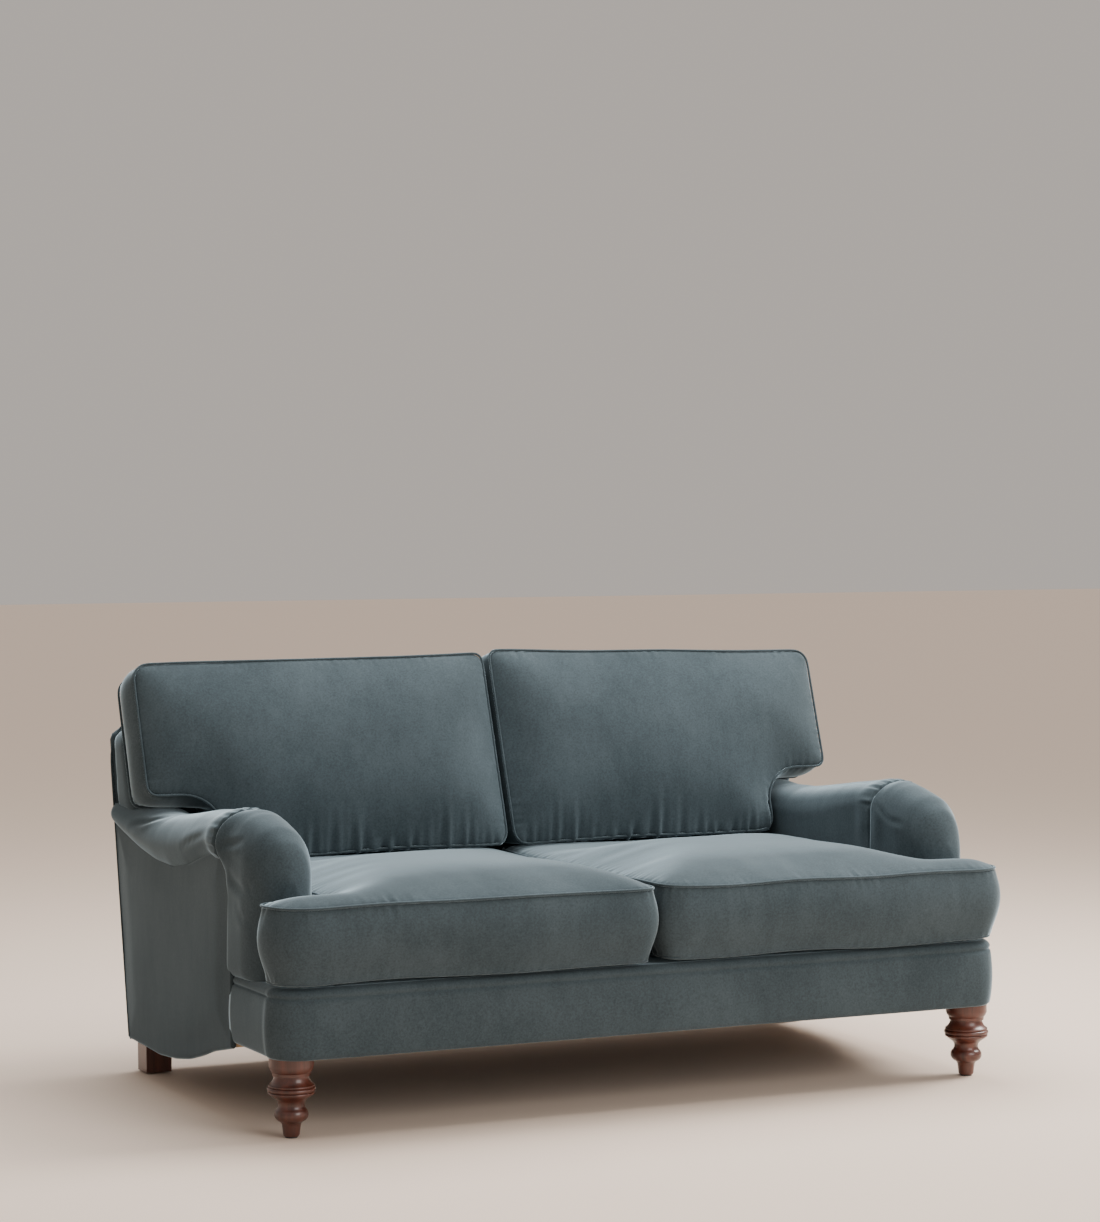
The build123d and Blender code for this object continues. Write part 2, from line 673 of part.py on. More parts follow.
# Loose cushions
def seat_block(inset):
    """Right-hand seat cushion: an ear wraps round the front of the arm."""
    inner = cushion_gap / 2 + inset
    body = arm_in_x - side_clear - inset
    ear = side_x + ear_out - inset
    front = nose_y + inset
    ear_back = arm_nose_y - ear_clear - inset
    rear = inner_y(seat_top) + 60.0
    base = deck_height + soft_clear + inset
    rounding = seat_round - inset
    with BuildPart() as block:
        with BuildSketch(Plane.XY.offset(base)) as plan:
            with BuildLine():
                Polyline((inner, front), (ear, front), (ear, ear_back), (body, ear_back),
                         (body, rear), (inner, rear), close=True)
            make_face()
            outer_corners = plan.vertices().filter_by(lambda v: v.X > body + 1.0)
            fillet(outer_corners.sort_by(Axis.Y)[0], border_corner - inset)
            fillet(plan.vertices().filter_by(lambda v: v.X > ear - 1.0).sort_by(Axis.Y)[-1], rounding + 1.0)
            fillet(plan.vertices().filter_by(lambda v: v.Y < front + 1.0).sort_by(Axis.X)[0], rounding + 1.0)
        extrude(amount=seat_top - inset - base)
        rims = block.edges().group_by(Axis.Z)[0] + block.edges().group_by(Axis.Z)[-1]
        fillet(rims, rounding)
        split(bisect_by=inner_back_plane.offset(soft_clear + inset), keep=Keep.TOP)
    return block.part


def back_block(inset):
    """Right-hand back cushion: an ear lies over the arm."""
    inner = cushion_gap / 2 + inset
    body = arm_in_x - side_clear - inset
    ear = side_x + ear_out - inset
    rise = cos(radians(cushion_rake))
    lift = back_cushion_thick * sin(radians(cushion_rake))
    top = (back_cushion_top - lift - deck_height) / rise - inset
    ear_low = (shoulder_base + ear_clear - deck_height) / rise + inset
    floor = seat_top + soft_clear + inset
    low = (floor - deck_height) / rise - back_cushion_thick
    rounding = back_round - inset
    with BuildPart() as block:
        with BuildSketch(inner_back_plane.offset(soft_clear + inset)) as face:
            with BuildLine():
                Polyline((inner, low), (body, low), (body, ear_low), (ear, ear_low),
                         (ear, top), (inner, top), close=True)
            make_face()
            fillet(face.vertices().filter_by(lambda v: v.X > body + 1.0), rounding + 1.0)
            fillet(face.vertices().group_by(Axis.Y)[-1].sort_by(Axis.X)[0], rounding + 1.0)
        extrude(amount=back_cushion_thick - soft_clear - 2 * inset)
        fillet(block.faces().sort_by(Axis.Y)[0].edges(), rounding)
        split(bisect_by=Plane.XY.offset(floor), keep=Keep.TOP)
    return block.part


inner_back_plane = raked(cushion_rake, inner_y(deck_height), deck_height)

for label, shape in (("seat", seat_block), ("back", back_block)):
    outside = shape(0.0)
    lining = shape(cloth)
    filling = shape(cloth + core_clear)
    with BuildPart() as cover:
        add(outside)
        add(lining, mode=Mode.SUBTRACT)
    save_pair(cover, f"{label}_cushion_cover")
    with BuildPart() as core:
        add(filling)
    save_pair(core, f"{label}_cushion_core")
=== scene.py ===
import json
from math import atan2, cos, pi, radians, sin, sqrt

import bmesh
import bpy
import numpy as np
from mathutils import Matrix, Vector, kdtree, noise
from mathutils.bvhtree import BVHTree


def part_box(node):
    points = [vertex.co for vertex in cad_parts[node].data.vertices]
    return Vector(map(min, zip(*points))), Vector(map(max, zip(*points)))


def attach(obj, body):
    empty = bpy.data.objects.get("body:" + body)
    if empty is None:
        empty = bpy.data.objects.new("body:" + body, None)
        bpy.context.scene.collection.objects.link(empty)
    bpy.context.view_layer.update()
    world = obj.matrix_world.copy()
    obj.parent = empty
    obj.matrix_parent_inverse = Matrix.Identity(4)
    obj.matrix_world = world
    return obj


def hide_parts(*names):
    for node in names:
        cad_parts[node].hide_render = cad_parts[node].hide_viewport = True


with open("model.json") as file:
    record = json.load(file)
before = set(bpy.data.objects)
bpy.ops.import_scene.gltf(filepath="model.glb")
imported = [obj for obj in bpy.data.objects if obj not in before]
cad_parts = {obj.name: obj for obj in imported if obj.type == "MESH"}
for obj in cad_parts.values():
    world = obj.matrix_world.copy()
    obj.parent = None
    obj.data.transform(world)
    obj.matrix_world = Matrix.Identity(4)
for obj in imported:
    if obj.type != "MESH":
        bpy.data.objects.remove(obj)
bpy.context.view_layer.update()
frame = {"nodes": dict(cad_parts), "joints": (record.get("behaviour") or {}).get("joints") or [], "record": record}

# Places that the pieces share, all from the frame, in metres
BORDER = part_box("border_front")
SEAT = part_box("seat_cushion_cover_right")
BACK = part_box("back_cushion_cover_right")
ARM_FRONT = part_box("arm_front_right")
ARM_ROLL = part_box("arm_roll_right")
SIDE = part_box("side_cover_right")
OUTER_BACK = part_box("back_outer_cover")
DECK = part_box("deck_pad")

SIDE_X = SIDE[1].x
BORDER_Y = BORDER[0].y
BORDER_LOW, BORDER_TOP = BORDER[0].z, BORDER[1].z
BORDER_THICK = BORDER[1].y - BORDER[0].y
CORNER = SIDE_X - BORDER[1].x
SIDE_FRONT_Y = SIDE[0].y
ARM_IN_X = ARM_FRONT[0].x
ARM_NOSE_Y = ARM_FRONT[0].y
RING_Y = ARM_ROLL[0].y
DECK_Z = DECK[1].z
BACK_AXIS = Vector(next(j["axis"] for j in frame["joints"] if j["name"] == "back_cushion_right_lift"))
CUSHION_RAKE = atan2(BACK_AXIS.y, BACK_AXIS.z)
REAR_LEAN_SLOPE = 0.198   # the back frame leans back by 11.2 degrees

SIDES = {"left": -1, "right": 1}


# ---------------------------------------------------------------- materials
def material(name):
    """A new material with its shader, and a function that adds a node to it."""
    mat = bpy.data.materials.new(name)
    mat.use_nodes = True
    tree = mat.node_tree
    shader = tree.nodes["Principled BSDF"]

    def add(kind, **sockets):
        node = tree.nodes.new(kind)
        for key, value in sockets.items():
            if key in node.inputs:
                node.inputs[key].default_value = value
            else:
                setattr(node, key, value)
        return node

    return mat, shader, add, tree.links.new


def noise_node(add, link, where, scale, detail=4.0, roughness=0.5, stretch=None):
    """Noise on a coordinate, stretched along an axis if asked."""
    node = add("ShaderNodeTexNoise", Scale=scale, Detail=detail, Roughness=roughness)
    if stretch:
        mapping = add("ShaderNodeMapping", Scale=stretch)
        link(where, mapping.inputs["Vector"])
        where = mapping.outputs["Vector"]
    link(where, node.inputs["Vector"])
    return node


def two_tones(add, link, factor, low, high, start=0.3, stop=0.7):
    """A ramp from one colour to another."""
    ramp = add("ShaderNodeValToRGB")
    ramp.color_ramp.elements[0].position = start
    ramp.color_ramp.elements[0].color = (*low, 1)
    ramp.color_ramp.elements[1].position = stop
    ramp.color_ramp.elements[1].color = (*high, 1)
    link(factor, ramp.inputs["Fac"])
    return ramp.outputs["Color"]


def bump(add, link, height, strength, distance, below=None):
    """Relief in the shading, on top of another one if asked."""
    node = add("ShaderNodeBump", Strength=strength, Distance=distance)
    link(height, node.inputs["Height"])
    if below:
        link(below, node.inputs["Normal"])
    return node.outputs["Normal"]


def velvet(name, shade=1.0):
    """Short-pile cotton velvet: cloudy nap, soft pile bump, and a pale sheen at the folds."""
    mat, shader, add, link = material(name)
    where = add("ShaderNodeTexCoord").outputs["Object"]
    cloud = noise_node(add, link, where, 5.0, 5.0, 0.55)
    nap = noise_node(add, link, where, 38.0, 3.0, 0.6, stretch=(1.0, 1.0, 0.35))
    pile = noise_node(add, link, where, 700.0, 2.0, 0.6)
    grain = noise_node(add, link, where, 240.0, 3.0, 0.7)
    deep = tuple(shade * c for c in (0.035, 0.050, 0.058))
    soft = tuple(shade * c for c in (0.062, 0.084, 0.096))
    base = two_tones(add, link, cloud.outputs["Fac"], deep, soft)
    combed = two_tones(add, link, nap.outputs["Fac"], deep, soft, 0.25, 0.8)
    half = add("ShaderNodeMix", data_type="RGBA")
    half.inputs["Factor"].default_value = 0.35
    link(base, half.inputs[6])
    link(combed, half.inputs[7])
    mottle = two_tones(add, link, grain.outputs["Fac"], (0.72, 0.72, 0.72), (1.22, 1.22, 1.22), 0.3, 0.7)
    worked = add("ShaderNodeMix", data_type="RGBA", blend_type="MULTIPLY")
    worked.inputs["Factor"].default_value = 0.8
    link(half.outputs[2], worked.inputs[6])
    link(mottle, worked.inputs[7])
    link(worked.outputs[2], shader.inputs["Base Color"])
    coarse = bump(add, link, nap.outputs["Fac"], 0.12, 0.0015)
    link(bump(add, link, pile.outputs["Fac"], 0.25, 0.0004, coarse), shader.inputs["Normal"])
    shader.inputs["Roughness"].default_value = 0.92
    shader.inputs["Specular IOR Level"].default_value = 0.12
    shader.inputs["Sheen Weight"].default_value = 1.0
    shader.inputs["Sheen Roughness"].default_value = 0.30
    shader.inputs["Sheen Tint"].default_value = (0.66, 0.85, 0.96, 1)
    return mat


def timber(name, dark, light, gloss, grain_axis=2, coat=0.0):
    """Wood with grain along an axis: long streaks, fine pores and a satin finish."""
    mat, shader, add, link = material(name)
    where = add("ShaderNodeTexCoord").outputs["Object"]
    along = [1.0, 1.0, 1.0]
    along[grain_axis] = 0.08
    streak = noise_node(add, link, where, 55.0, 6.0, 0.62, stretch=along)
    pore_scale = [1.0, 1.0, 1.0]
    pore_scale[grain_axis] = 0.03
    pore = noise_node(add, link, where, 420.0, 3.0, 0.7, stretch=pore_scale)
    tone = two_tones(add, link, streak.outputs["Fac"], dark, light, 0.32, 0.7)
    fleck = two_tones(add, link, pore.outputs["Fac"], (0.45, 0.4, 0.38), (1, 1, 1), 0.3, 0.5)
    node = add("ShaderNodeMix", data_type="RGBA", blend_type="MULTIPLY", Factor=0.45)
    link(tone, node.inputs[6])
    link(fleck, node.inputs[7])
    link(node.outputs[2], shader.inputs["Base Color"])
    rough = add("ShaderNodeMapRange")
    rough.inputs["To Min"].default_value = gloss - 0.06
    rough.inputs["To Max"].default_value = gloss + 0.10
    link(streak.outputs["Fac"], rough.inputs["Value"])
    link(rough.outputs["Result"], shader.inputs["Roughness"])
    link(bump(add, link, pore.outputs["Fac"], 0.12, 0.0004), shader.inputs["Normal"])
    shader.inputs["Coat Weight"].default_value = coat
    shader.inputs["Coat Roughness"].default_value = 0.22
    return mat


def steel_finish():
    """Zinc-plated steel with faint streaks."""
    mat, shader, add, link = material("zinc_steel")
    where = add("ShaderNodeTexCoord").outputs["Object"]
    streak = noise_node(add, link, where, 90.0, 3.0)
    link(two_tones(add, link, streak.outputs["Fac"], (0.42, 0.42, 0.43), (0.62, 0.62, 0.63)),
         shader.inputs["Base Color"])
    shader.inputs["Metallic"].default_value = 1.0
    shader.inputs["Roughness"].default_value = 0.36
    link(bump(add, link, streak.outputs["Fac"], 0.1, 0.0002), shader.inputs["Normal"])
    return mat


def woven(name, dark, light, pitch, roughness=0.9):
    """Plain cloth: crossing threads from two wave patterns."""
    mat, shader, add, link = material(name)
    where = add("ShaderNodeTexCoord").outputs["Object"]
    threads = []
    for way in ("X", "Y"):
        wave = add("ShaderNodeTexWave", Scale=pitch, bands_direction=way)
        wave.inputs["Distortion"].default_value = 0.6
        link(where, wave.inputs["Vector"])
        threads.append(wave.outputs["Fac"])
    both = add("ShaderNodeMath", operation="MULTIPLY")
    link(threads[0], both.inputs[0])
    link(threads[1], both.inputs[1])
    patch = noise_node(add, link, where, 12.0)
    tone = two_tones(add, link, patch.outputs["Fac"], dark, light)
    link(tone, shader.inputs["Base Color"])
    link(bump(add, link, both.outputs[0], 0.4, 0.0006), shader.inputs["Normal"])
    shader.inputs["Roughness"].default_value = roughness
    shader.inputs["Sheen Weight"].default_value = 0.15
    return mat


def moulded_nylon():
    mat, shader, add, link = material("moulded_nylon")
    where = add("ShaderNodeTexCoord").outputs["Object"]
    grain = noise_node(add, link, where, 300.0, 2.0)
    link(two_tones(add, link, grain.outputs["Fac"], (0.012, 0.012, 0.012), (0.03, 0.03, 0.03)),
         shader.inputs["Base Color"])
    link(bump(add, link, grain.outputs["Fac"], 0.15, 0.0002), shader.inputs["Normal"])
    shader.inputs["Roughness"].default_value = 0.55
    return mat


VELVET = velvet("slate_velvet")
WELT_VELVET = velvet("welt_velvet", 0.8)
DECK_CLOTH = velvet("deck_velvet", 0.7)
# the same velvet with its base colour darkened to 0.72: painted shade for the outer side panels, which face away
# from the key light
SHADED_SIDE_VELVET = velvet("side_velvet_painted_shade", 0.72)
LEG_WOOD = timber("stained_leg_wood", (0.032, 0.0075, 0.0045), (0.115, 0.030, 0.017), 0.34, 2, 0.35)
FRAME_WOOD = timber("planed_frame_wood", (0.42, 0.27, 0.14), (0.66, 0.48, 0.29), 0.62, 0)
STEEL = steel_finish()
NYLON = moulded_nylon()
LINER = woven("black_liner", (0.010, 0.010, 0.011), (0.022, 0.022, 0.024), 260.0)
FELT = woven("bonded_felt", (0.05, 0.048, 0.045), (0.10, 0.095, 0.09), 180.0)
WEBBING = woven("back_webbing_cloth", (0.10, 0.08, 0.055), (0.22, 0.19, 0.14), 320.0)


# ---------------------------------------------------------------- mesh helpers
def piece_from(bm, name, mat, recalc=True):
    """Turns a bmesh into a linked object with a material and smooth faces."""
    if recalc:
        bmesh.ops.recalc_face_normals(bm, faces=bm.faces)
    mesh = bpy.data.meshes.new(name)
    bm.to_mesh(mesh)
    bm.free()
    mesh.materials.append(mat)
    piece = bpy.data.objects.new(name, mesh)
    bpy.context.collection.objects.link(piece)
    mesh.shade_smooth()
    return piece


def points_of(piece):
    """The mesh's points as an array."""
    flat = np.empty(len(piece.data.vertices) * 3)
    piece.data.vertices.foreach_get("co", flat)
    return flat.reshape(-1, 3)


def put_points(piece, points):
    piece.data.vertices.foreach_set("co", np.ascontiguousarray(points).ravel())
    piece.data.update()


def normals_of(piece):
    flat = np.empty(len(piece.data.vertices) * 3)
    piece.data.vertices.foreach_get("normal", flat)
    return flat.reshape(-1, 3)


def apply_modifiers(piece):
    """Keeps what the modifiers make, and drops the modifiers."""
    graph = bpy.context.evaluated_depsgraph_get()
    made = bpy.data.meshes.new_from_object(piece.evaluated_get(graph), depsgraph=graph)
    old = piece.data
    piece.modifiers.clear()
    piece.data = made
    made.name = piece.name
    bpy.data.meshes.remove(old)
    made.shade_smooth()
    return piece


def remesh(piece, size):
    """Even quads all over a closed shape."""
    step = piece.modifiers.new("even_mesh", "REMESH")
    step.mode = "VOXEL"
    step.voxel_size = size
    return apply_modifiers(piece)


def subdivide(piece, levels=1):
    step = piece.modifiers.new("finer", "SUBSURF")
    step.levels = levels
    step.render_levels = levels
    return apply_modifiers(piece)


def relax(piece, rounds, factor=0.5):
    """Evens out the surface."""
    bm = bmesh.new()
    bm.from_mesh(piece.data)
    for _ in range(rounds):
        bmesh.ops.smooth_vert(bm, verts=bm.verts, factor=factor, use_axis_x=True, use_axis_y=True,
                              use_axis_z=True)
    bm.to_mesh(piece.data)
    bm.free()
    piece.data.shade_smooth()


def puff(piece, pressure, cap, held, grow=0.006, frames=14):
    """Blows a closed cloth shape up. held says how firmly each point is kept, from 0 to 1."""
    rest = points_of(piece)
    group = piece.vertex_groups.new(name="held")
    for index in np.nonzero(held > 0.01)[0]:
        group.add([int(index)], float(held[index]), "REPLACE")
    cloth = piece.modifiers.new("cloth", "CLOTH")
    settings = cloth.settings
    settings.quality = 4
    settings.mass = 0.3
    settings.effector_weights.gravity = 0
    settings.use_pressure = True
    settings.uniform_pressure_force = pressure
    settings.tension_stiffness = 12
    settings.compression_stiffness = 12
    settings.shear_stiffness = 6
    settings.bending_stiffness = 3
    settings.shrink_min = -grow
    settings.vertex_group_mass = "held"
    cloth.collision_settings.use_collision = False
    cloth.point_cache.frame_start = 1
    cloth.point_cache.frame_end = frames
    scene = bpy.context.scene
    for number in range(1, frames + 1):
        scene.frame_set(number)
    apply_modifiers(piece)
    piece.vertex_groups.clear()
    scene.frame_set(1)
    moved = points_of(piece) - rest
    length = np.linalg.norm(moved, axis=1, keepdims=True)
    put_points(piece, rest + moved * np.minimum(1.0, cap / np.maximum(length, 1e-9)))
    return rest


def calm(piece, held, rounds):
    """Smooths the open cloth between the seams."""
    bm = bmesh.new()
    bm.from_mesh(piece.data)
    bm.verts.ensure_lookup_table()
    loose = [bm.verts[int(i)] for i in np.nonzero(held < 0.05)[0]]
    for _ in range(rounds):
        bmesh.ops.smooth_vert(bm, verts=loose, factor=0.5, use_axis_x=True, use_axis_y=True, use_axis_z=True)
    bm.to_mesh(piece.data)
    bm.free()
    piece.data.shade_smooth()


def seam_distance(points, path):
    """How far each point is from a path."""
    tree = kdtree.KDTree(len(path))
    for index, point in enumerate(path):
        tree.insert(point, index)
    tree.balance()
    return np.array([tree.find(Vector(p))[2] for p in points])


def inset_path(path, depth):
    """A closed path in plan, moved inwards."""
    turn = sum((b.x - a.x) * (b.y + a.y) for a, b in zip(path, path[1:] + path[:1]))
    way = -1 if turn > 0 else 1
    out = []
    for i, spot in enumerate(path):
        along = (path[(i + 1) % len(path)] - path[i - 1]).normalized()
        out.append(spot + Vector((-along.y, along.x, 0)) * (way * depth))
    return out


def fill_out(piece, seam, level, crown, reach, bulge, low, high, tuck=0.0):
    """Gives a block its stuffed shape: a crowned face beyond a level, and bulging sides between two seams."""
    points, normals = points_of(piece), normals_of(piece)
    away = np.clip(seam_distance(points, seam) / reach, 0, 1)
    face = smoothstep(level - 0.012, level - 0.002, points[:, 2])
    points[:, 2] += face * crown * (1 - (1 - away) ** 2) ** 0.8
    sides = np.sin(pi * np.clip((points[:, 2] - low) / (high - low), 0, 1)) * (1 - face)
    flat = normals * (1, 1, 0)
    side = np.abs(normals[:, 2]) < 0.8
    drawn_in = tuck * (1 - smoothstep(low, low + 0.6 * (high - low), points[:, 2]))
    points += flat * ((bulge * sides - drawn_in) * side)[:, None]
    put_points(piece, points)


def puckers(piece, seams, seed, height, reach=0.020):
    """Short folds that stand across a seam, stronger in some places than in others."""
    points, normals = points_of(piece), normals_of(piece)
    for number, seam in enumerate(seams):
        tree = kdtree.KDTree(len(seam))
        for index, point in enumerate(seam):
            tree.insert(point, index)
        tree.balance()
        step = 0.010
        count = len(seam)
        run = np.arange(count) * step
        strength = [noise.noise(Vector((r / 0.11, seed * 1.7, number * 3.1))) + 0.25 for r in run]
        strength = np.maximum(strength, 0.0)
        for i, point in enumerate(points):
            _, index, away = tree.find(Vector(point))
            if away > 3 * reach:
                continue
            before, after = seam[index - 1], seam[(index + 1) % count]
            tangent = (after - before).normalized()
            along = run[index] + tangent.dot(Vector(point) - seam[index])
            wave = sin(along * 2 * pi / 0.019 + 2.2 * sin(along * 17 + seed))
            wave += 0.6 * sin(along * 2 * pi / 0.031 + seed)
            fade = (1 - np.exp(-((away / 0.004) ** 2))) * np.exp(-((away / reach) ** 1.5))
            points[i] += normals[i] * (height * strength[index] * wave * fade)
    put_points(piece, points)


def carried(rest, piece, path, near=6):
    """Where points of a seam went, when the mesh moved from rest to where it is now."""
    tree = kdtree.KDTree(len(rest))
    for index, point in enumerate(rest):
        tree.insert(point, index)
    tree.balance()
    now = points_of(piece)
    out = []
    for point in path:
        total, shift = 0.0, np.zeros(3)
        for _, index, distance in tree.find_n(point, near):
            weight = 1.0 / (distance + 0.002)
            total += weight
            shift += weight * (now[index] - rest[index])
        out.append(Vector(point) + Vector(shift / total))
    return out


def evened(path, rounds=2, closed=True):
    """Smooths a path."""
    points = [Vector(p) for p in path]
    for _ in range(rounds):
        count = len(points)
        fresh = []
        for i, point in enumerate(points):
            if not closed and i in (0, count - 1):
                fresh.append(point)
            else:
                fresh.append(point * 0.5 + (points[i - 1] + points[(i + 1) % count]) * 0.25)
        points = fresh
    return points


def tube(name, paths, radius, mat, closed=True):
    """A round cord along each path: one mesh."""
    curve = bpy.data.curves.new(name, "CURVE")
    curve.dimensions = "3D"
    curve.bevel_depth = radius
    curve.bevel_resolution = 2
    curve.use_fill_caps = True
    for path in paths:
        spline = curve.splines.new("POLY")
        spline.points.add(len(path) - 1)
        for spot, point in zip(spline.points, path):
            spot.co = (*point, 1)
        spline.use_cyclic_u = closed
    holder = bpy.data.objects.new(name, curve)
    bpy.context.collection.objects.link(holder)
    graph = bpy.context.evaluated_depsgraph_get()
    mesh = bpy.data.meshes.new_from_object(holder.evaluated_get(graph), depsgraph=graph)
    bpy.data.objects.remove(holder)
    bpy.data.curves.remove(curve)
    mesh.name = name
    mesh.materials.clear()
    mesh.materials.append(mat)
    mesh.shade_smooth()
    piece = bpy.data.objects.new(name, mesh)
    bpy.context.collection.objects.link(piece)
    return piece


def block(corners, low, high):
    """A closed block from the corners of its plan, each with the radius of its upright edge."""
    bm = bmesh.new()
    face = bm.faces.new([bm.verts.new((x, y, low)) for x, y, _ in corners])
    grown = bmesh.ops.extrude_face_region(bm, geom=[face])
    moved = [g for g in grown["geom"] if isinstance(g, bmesh.types.BMVert)]
    bmesh.ops.translate(bm, verts=moved, vec=(0, 0, high - low))
    for x, y, radius in corners:
        edges = [e for e in bm.edges if abs(e.verts[0].co.z - e.verts[1].co.z) > 0.5 * (high - low)
                 and (e.verts[0].co.xy - Vector((x, y))).length < 1e-5]
        bmesh.ops.bevel(bm, geom=edges, offset=radius, affect="EDGES", segments=8, profile=0.5,
                        clamp_overlap=False, material=-1)
    bmesh.ops.recalc_face_normals(bm, faces=bm.faces)
    rim = max((f for f in bm.faces if f.normal.z > 0.9), key=lambda f: f.calc_area())
    path = evenly([v.co.copy() for v in rim.verts], 0.010)
    return bm, path


def evenly(path, step):
    """A closed path in even steps."""
    out = []
    for start, end in zip(path, path[1:] + path[:1]):
        parts = max(1, round((end - start).length / step))
        out += [start.lerp(end, k / parts) for k in range(parts)]
    return out


def skin(name, rings, mat):
    """A closed surface through rings of points, given as rows by points around by XYZ."""
    rows, around, _ = rings.shape
    bm = bmesh.new()
    bmesh.ops.create_grid(bm, x_segments=around, y_segments=rows - 1, size=0.5)
    for v in bm.verts:
        column = round((v.co.x + 0.5) * around) % around
        row = round((v.co.y + 0.5) * (rows - 1))
        v.co = rings[row, column]
    bmesh.ops.remove_doubles(bm, verts=bm.verts, dist=1e-5)
    return piece_from(bm, name, mat)


def eased(pairs, spread=0.02):
    """A smooth line through pairs of a place and a value."""
    places, values = zip(*sorted(pairs))
    fine = np.linspace(places[0], places[-1], 600)
    level = np.interp(fine, places, values)
    reach = max(1, int(spread / (fine[1] - fine[0])))
    weight = np.exp(-np.linspace(-2, 2, 2 * reach + 1) ** 2)
    low, high = 2 * level[0] - level[reach:0:-1], 2 * level[-1] - level[-2:-reach - 2:-1]
    level = np.convolve(np.concatenate([low, level, high]), weight / weight.sum(), "valid")
    return lambda place: np.interp(place, fine, level)


def wobble(points, seed, size, height):
    """Slow unevenness, one value for each point, in metres."""
    shift = Vector((seed * 7.3, seed * 3.1, seed * 5.7))
    return np.array([noise.noise(Vector(p) / size + shift) for p in points]) * height


def smoothstep(low, high, value):
    t = np.clip((value - low) / (high - low), 0.0, 1.0)
    return t * t * (3 - 2 * t)


def near_path(points, path, width):
    """1 on a path, falling to 0 at a width from it."""
    tree = kdtree.KDTree(len(path))
    for index, point in enumerate(path):
        tree.insert(point, index)
    tree.balance()
    away = np.array([tree.find(Vector(p))[2] for p in points])
    return np.clip(1.0 - away / width, 0.0, 1.0)


def finish_piece(piece, body, nodes=()):
    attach(piece, body)
    if nodes:
        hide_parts(*nodes)
    return piece


# ---------------------------------------------------------------- loose cushions
WELT = 0.0027          # radius of the piping
SEAT_BOX_LOW = 0.304   # lower and upper piping of the seat cushions
SEAT_BOX_TOP = 0.449
SEAT_CROWN = 0.499
SEAT_REAR = 0.465      # top of the seat cushions under the back cushions
BACK_BOX = 0.112       # depth of the back cushions' boxing
VOXEL = 0.010
SEAM_REACH = 0.011     # the cloth is held this far from a seam


def seat_outline():
    """The right-hand seat cushion from above, with its ear in front of the arm."""
    tuck = 0.007
    inner = SEAT[0].x + tuck - 0.002
    body = ARM_IN_X - 0.010
    ear = SEAT[1].x - tuck
    front = SEAT[0].y + tuck
    ear_back = ARM_NOSE_Y - 0.009
    rear = SEAT[1].y - 0.025
    return [(inner, front, 0.042), (ear, front, 0.072), (ear, ear_back, 0.022),
            (body, ear_back, 0.02), (body, rear, 0.03), (inner, rear, 0.03)]


def seat_cushion(side):
    """A boxed seat cushion, crowned between its seams, with puckers along them."""
    way = SIDES[side]
    bm, top_path = block(seat_outline(), SEAT_BOX_LOW, SEAT_BOX_TOP)
    piece = remesh(piece_from(bm, f"seat_cushion_{side}_pad", VELVET), VOXEL)
    low_path = [Vector((p.x, p.y, SEAT_BOX_LOW)) for p in inset_path(top_path, 0.012)]
    seed = 3 if way > 0 else 11
    fill_out(piece, top_path, SEAT_BOX_TOP, 0.044, 0.24, 0.015, SEAT_BOX_LOW, SEAT_BOX_TOP, 0.012)
    held = np.maximum.reduce([near_path(points_of(piece), path, SEAM_REACH) for path in (top_path, low_path)])
    points = points_of(piece)
    for cloud in (points, top_path, low_path):
        lift = wobble(cloud, seed, 0.26, 0.008)
        out = wobble(cloud, seed + 1, 0.2, 0.006)
        for i, p in enumerate(cloud):
            p[2] += lift[i]
            if p[1] < -0.3:
                p[1] += out[i]
    put_points(piece, points)
    rest = puff(piece, 3.0, 0.022, np.minimum(held * 2, 1.0))
    calm(piece, held, 14)
    points = points_of(piece)
    ceiling = SEAT_CROWN + 0.003 + wobble(points, seed + 4, 0.3, 0.004)
    ceiling -= smoothstep(-0.12, 0.10, points[:, 1]) * (SEAT_CROWN - SEAT_REAR + 0.004)
    over = points[:, 2] - (ceiling - 0.014)
    points[:, 2] = np.where(over > 0, ceiling - 0.014 * np.exp(-np.maximum(over, 0) / 0.014), points[:, 2])
    points[:, 2] = np.maximum(points[:, 2], DECK_Z + 0.0012)
    points[:, 0] = np.clip(points[:, 0], 0.0008, SEAT[1].x + 0.008)
    beside = points[:, 1] > ARM_NOSE_Y - 0.004
    points[:, 0] = np.where(beside, np.minimum(points[:, 0], ARM_IN_X - 0.003), points[:, 0])
    put_points(piece, points)
    seams = [evened(carried(rest, piece, path), 3) for path in (top_path, low_path)]
    subdivide(piece)
    puckers(piece, seams, seed, 0.0023)
    welts = tube(f"seat_welt_{side}", seams, WELT, VELVET)
    if way < 0:
        mirror_x(piece)
        mirror_x(welts)
    body = f"seat_cushion_{side}"
    finish_piece(piece, body, nodes=(f"seat_cushion_cover_{side}", f"seat_cushion_core_{side}"))
    finish_piece(welts, body)
    return piece


def mirror_x(piece):
    """Turns a right-hand piece into the left-hand one."""
    bm = bmesh.new()
    bm.from_mesh(piece.data)
    bmesh.ops.scale(bm, verts=bm.verts, vec=(-1, 1, 1))
    bmesh.ops.reverse_faces(bm, faces=bm.faces)
    bm.to_mesh(piece.data)
    bm.free()
    piece.data.shade_smooth()


CUSHION_LEAN = CUSHION_RAKE + radians(1.2)   # the soft pad gives a little more at the top


def inner_plane():
    """Where local X runs along the sofa, Y up the leaning inner back and Z forward, out of it."""
    lean = CUSHION_LEAN
    rear_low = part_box("back_inner_pad")[0]
    origin = Vector((0, rear_low.y + 0.014, rear_low.z))
    turn = Matrix(((1, 0, 0), (0, sin(lean), -cos(lean)), (0, cos(lean), sin(lean)))).to_4x4()
    return Matrix.Translation(origin) @ turn


PLANE = inner_plane()


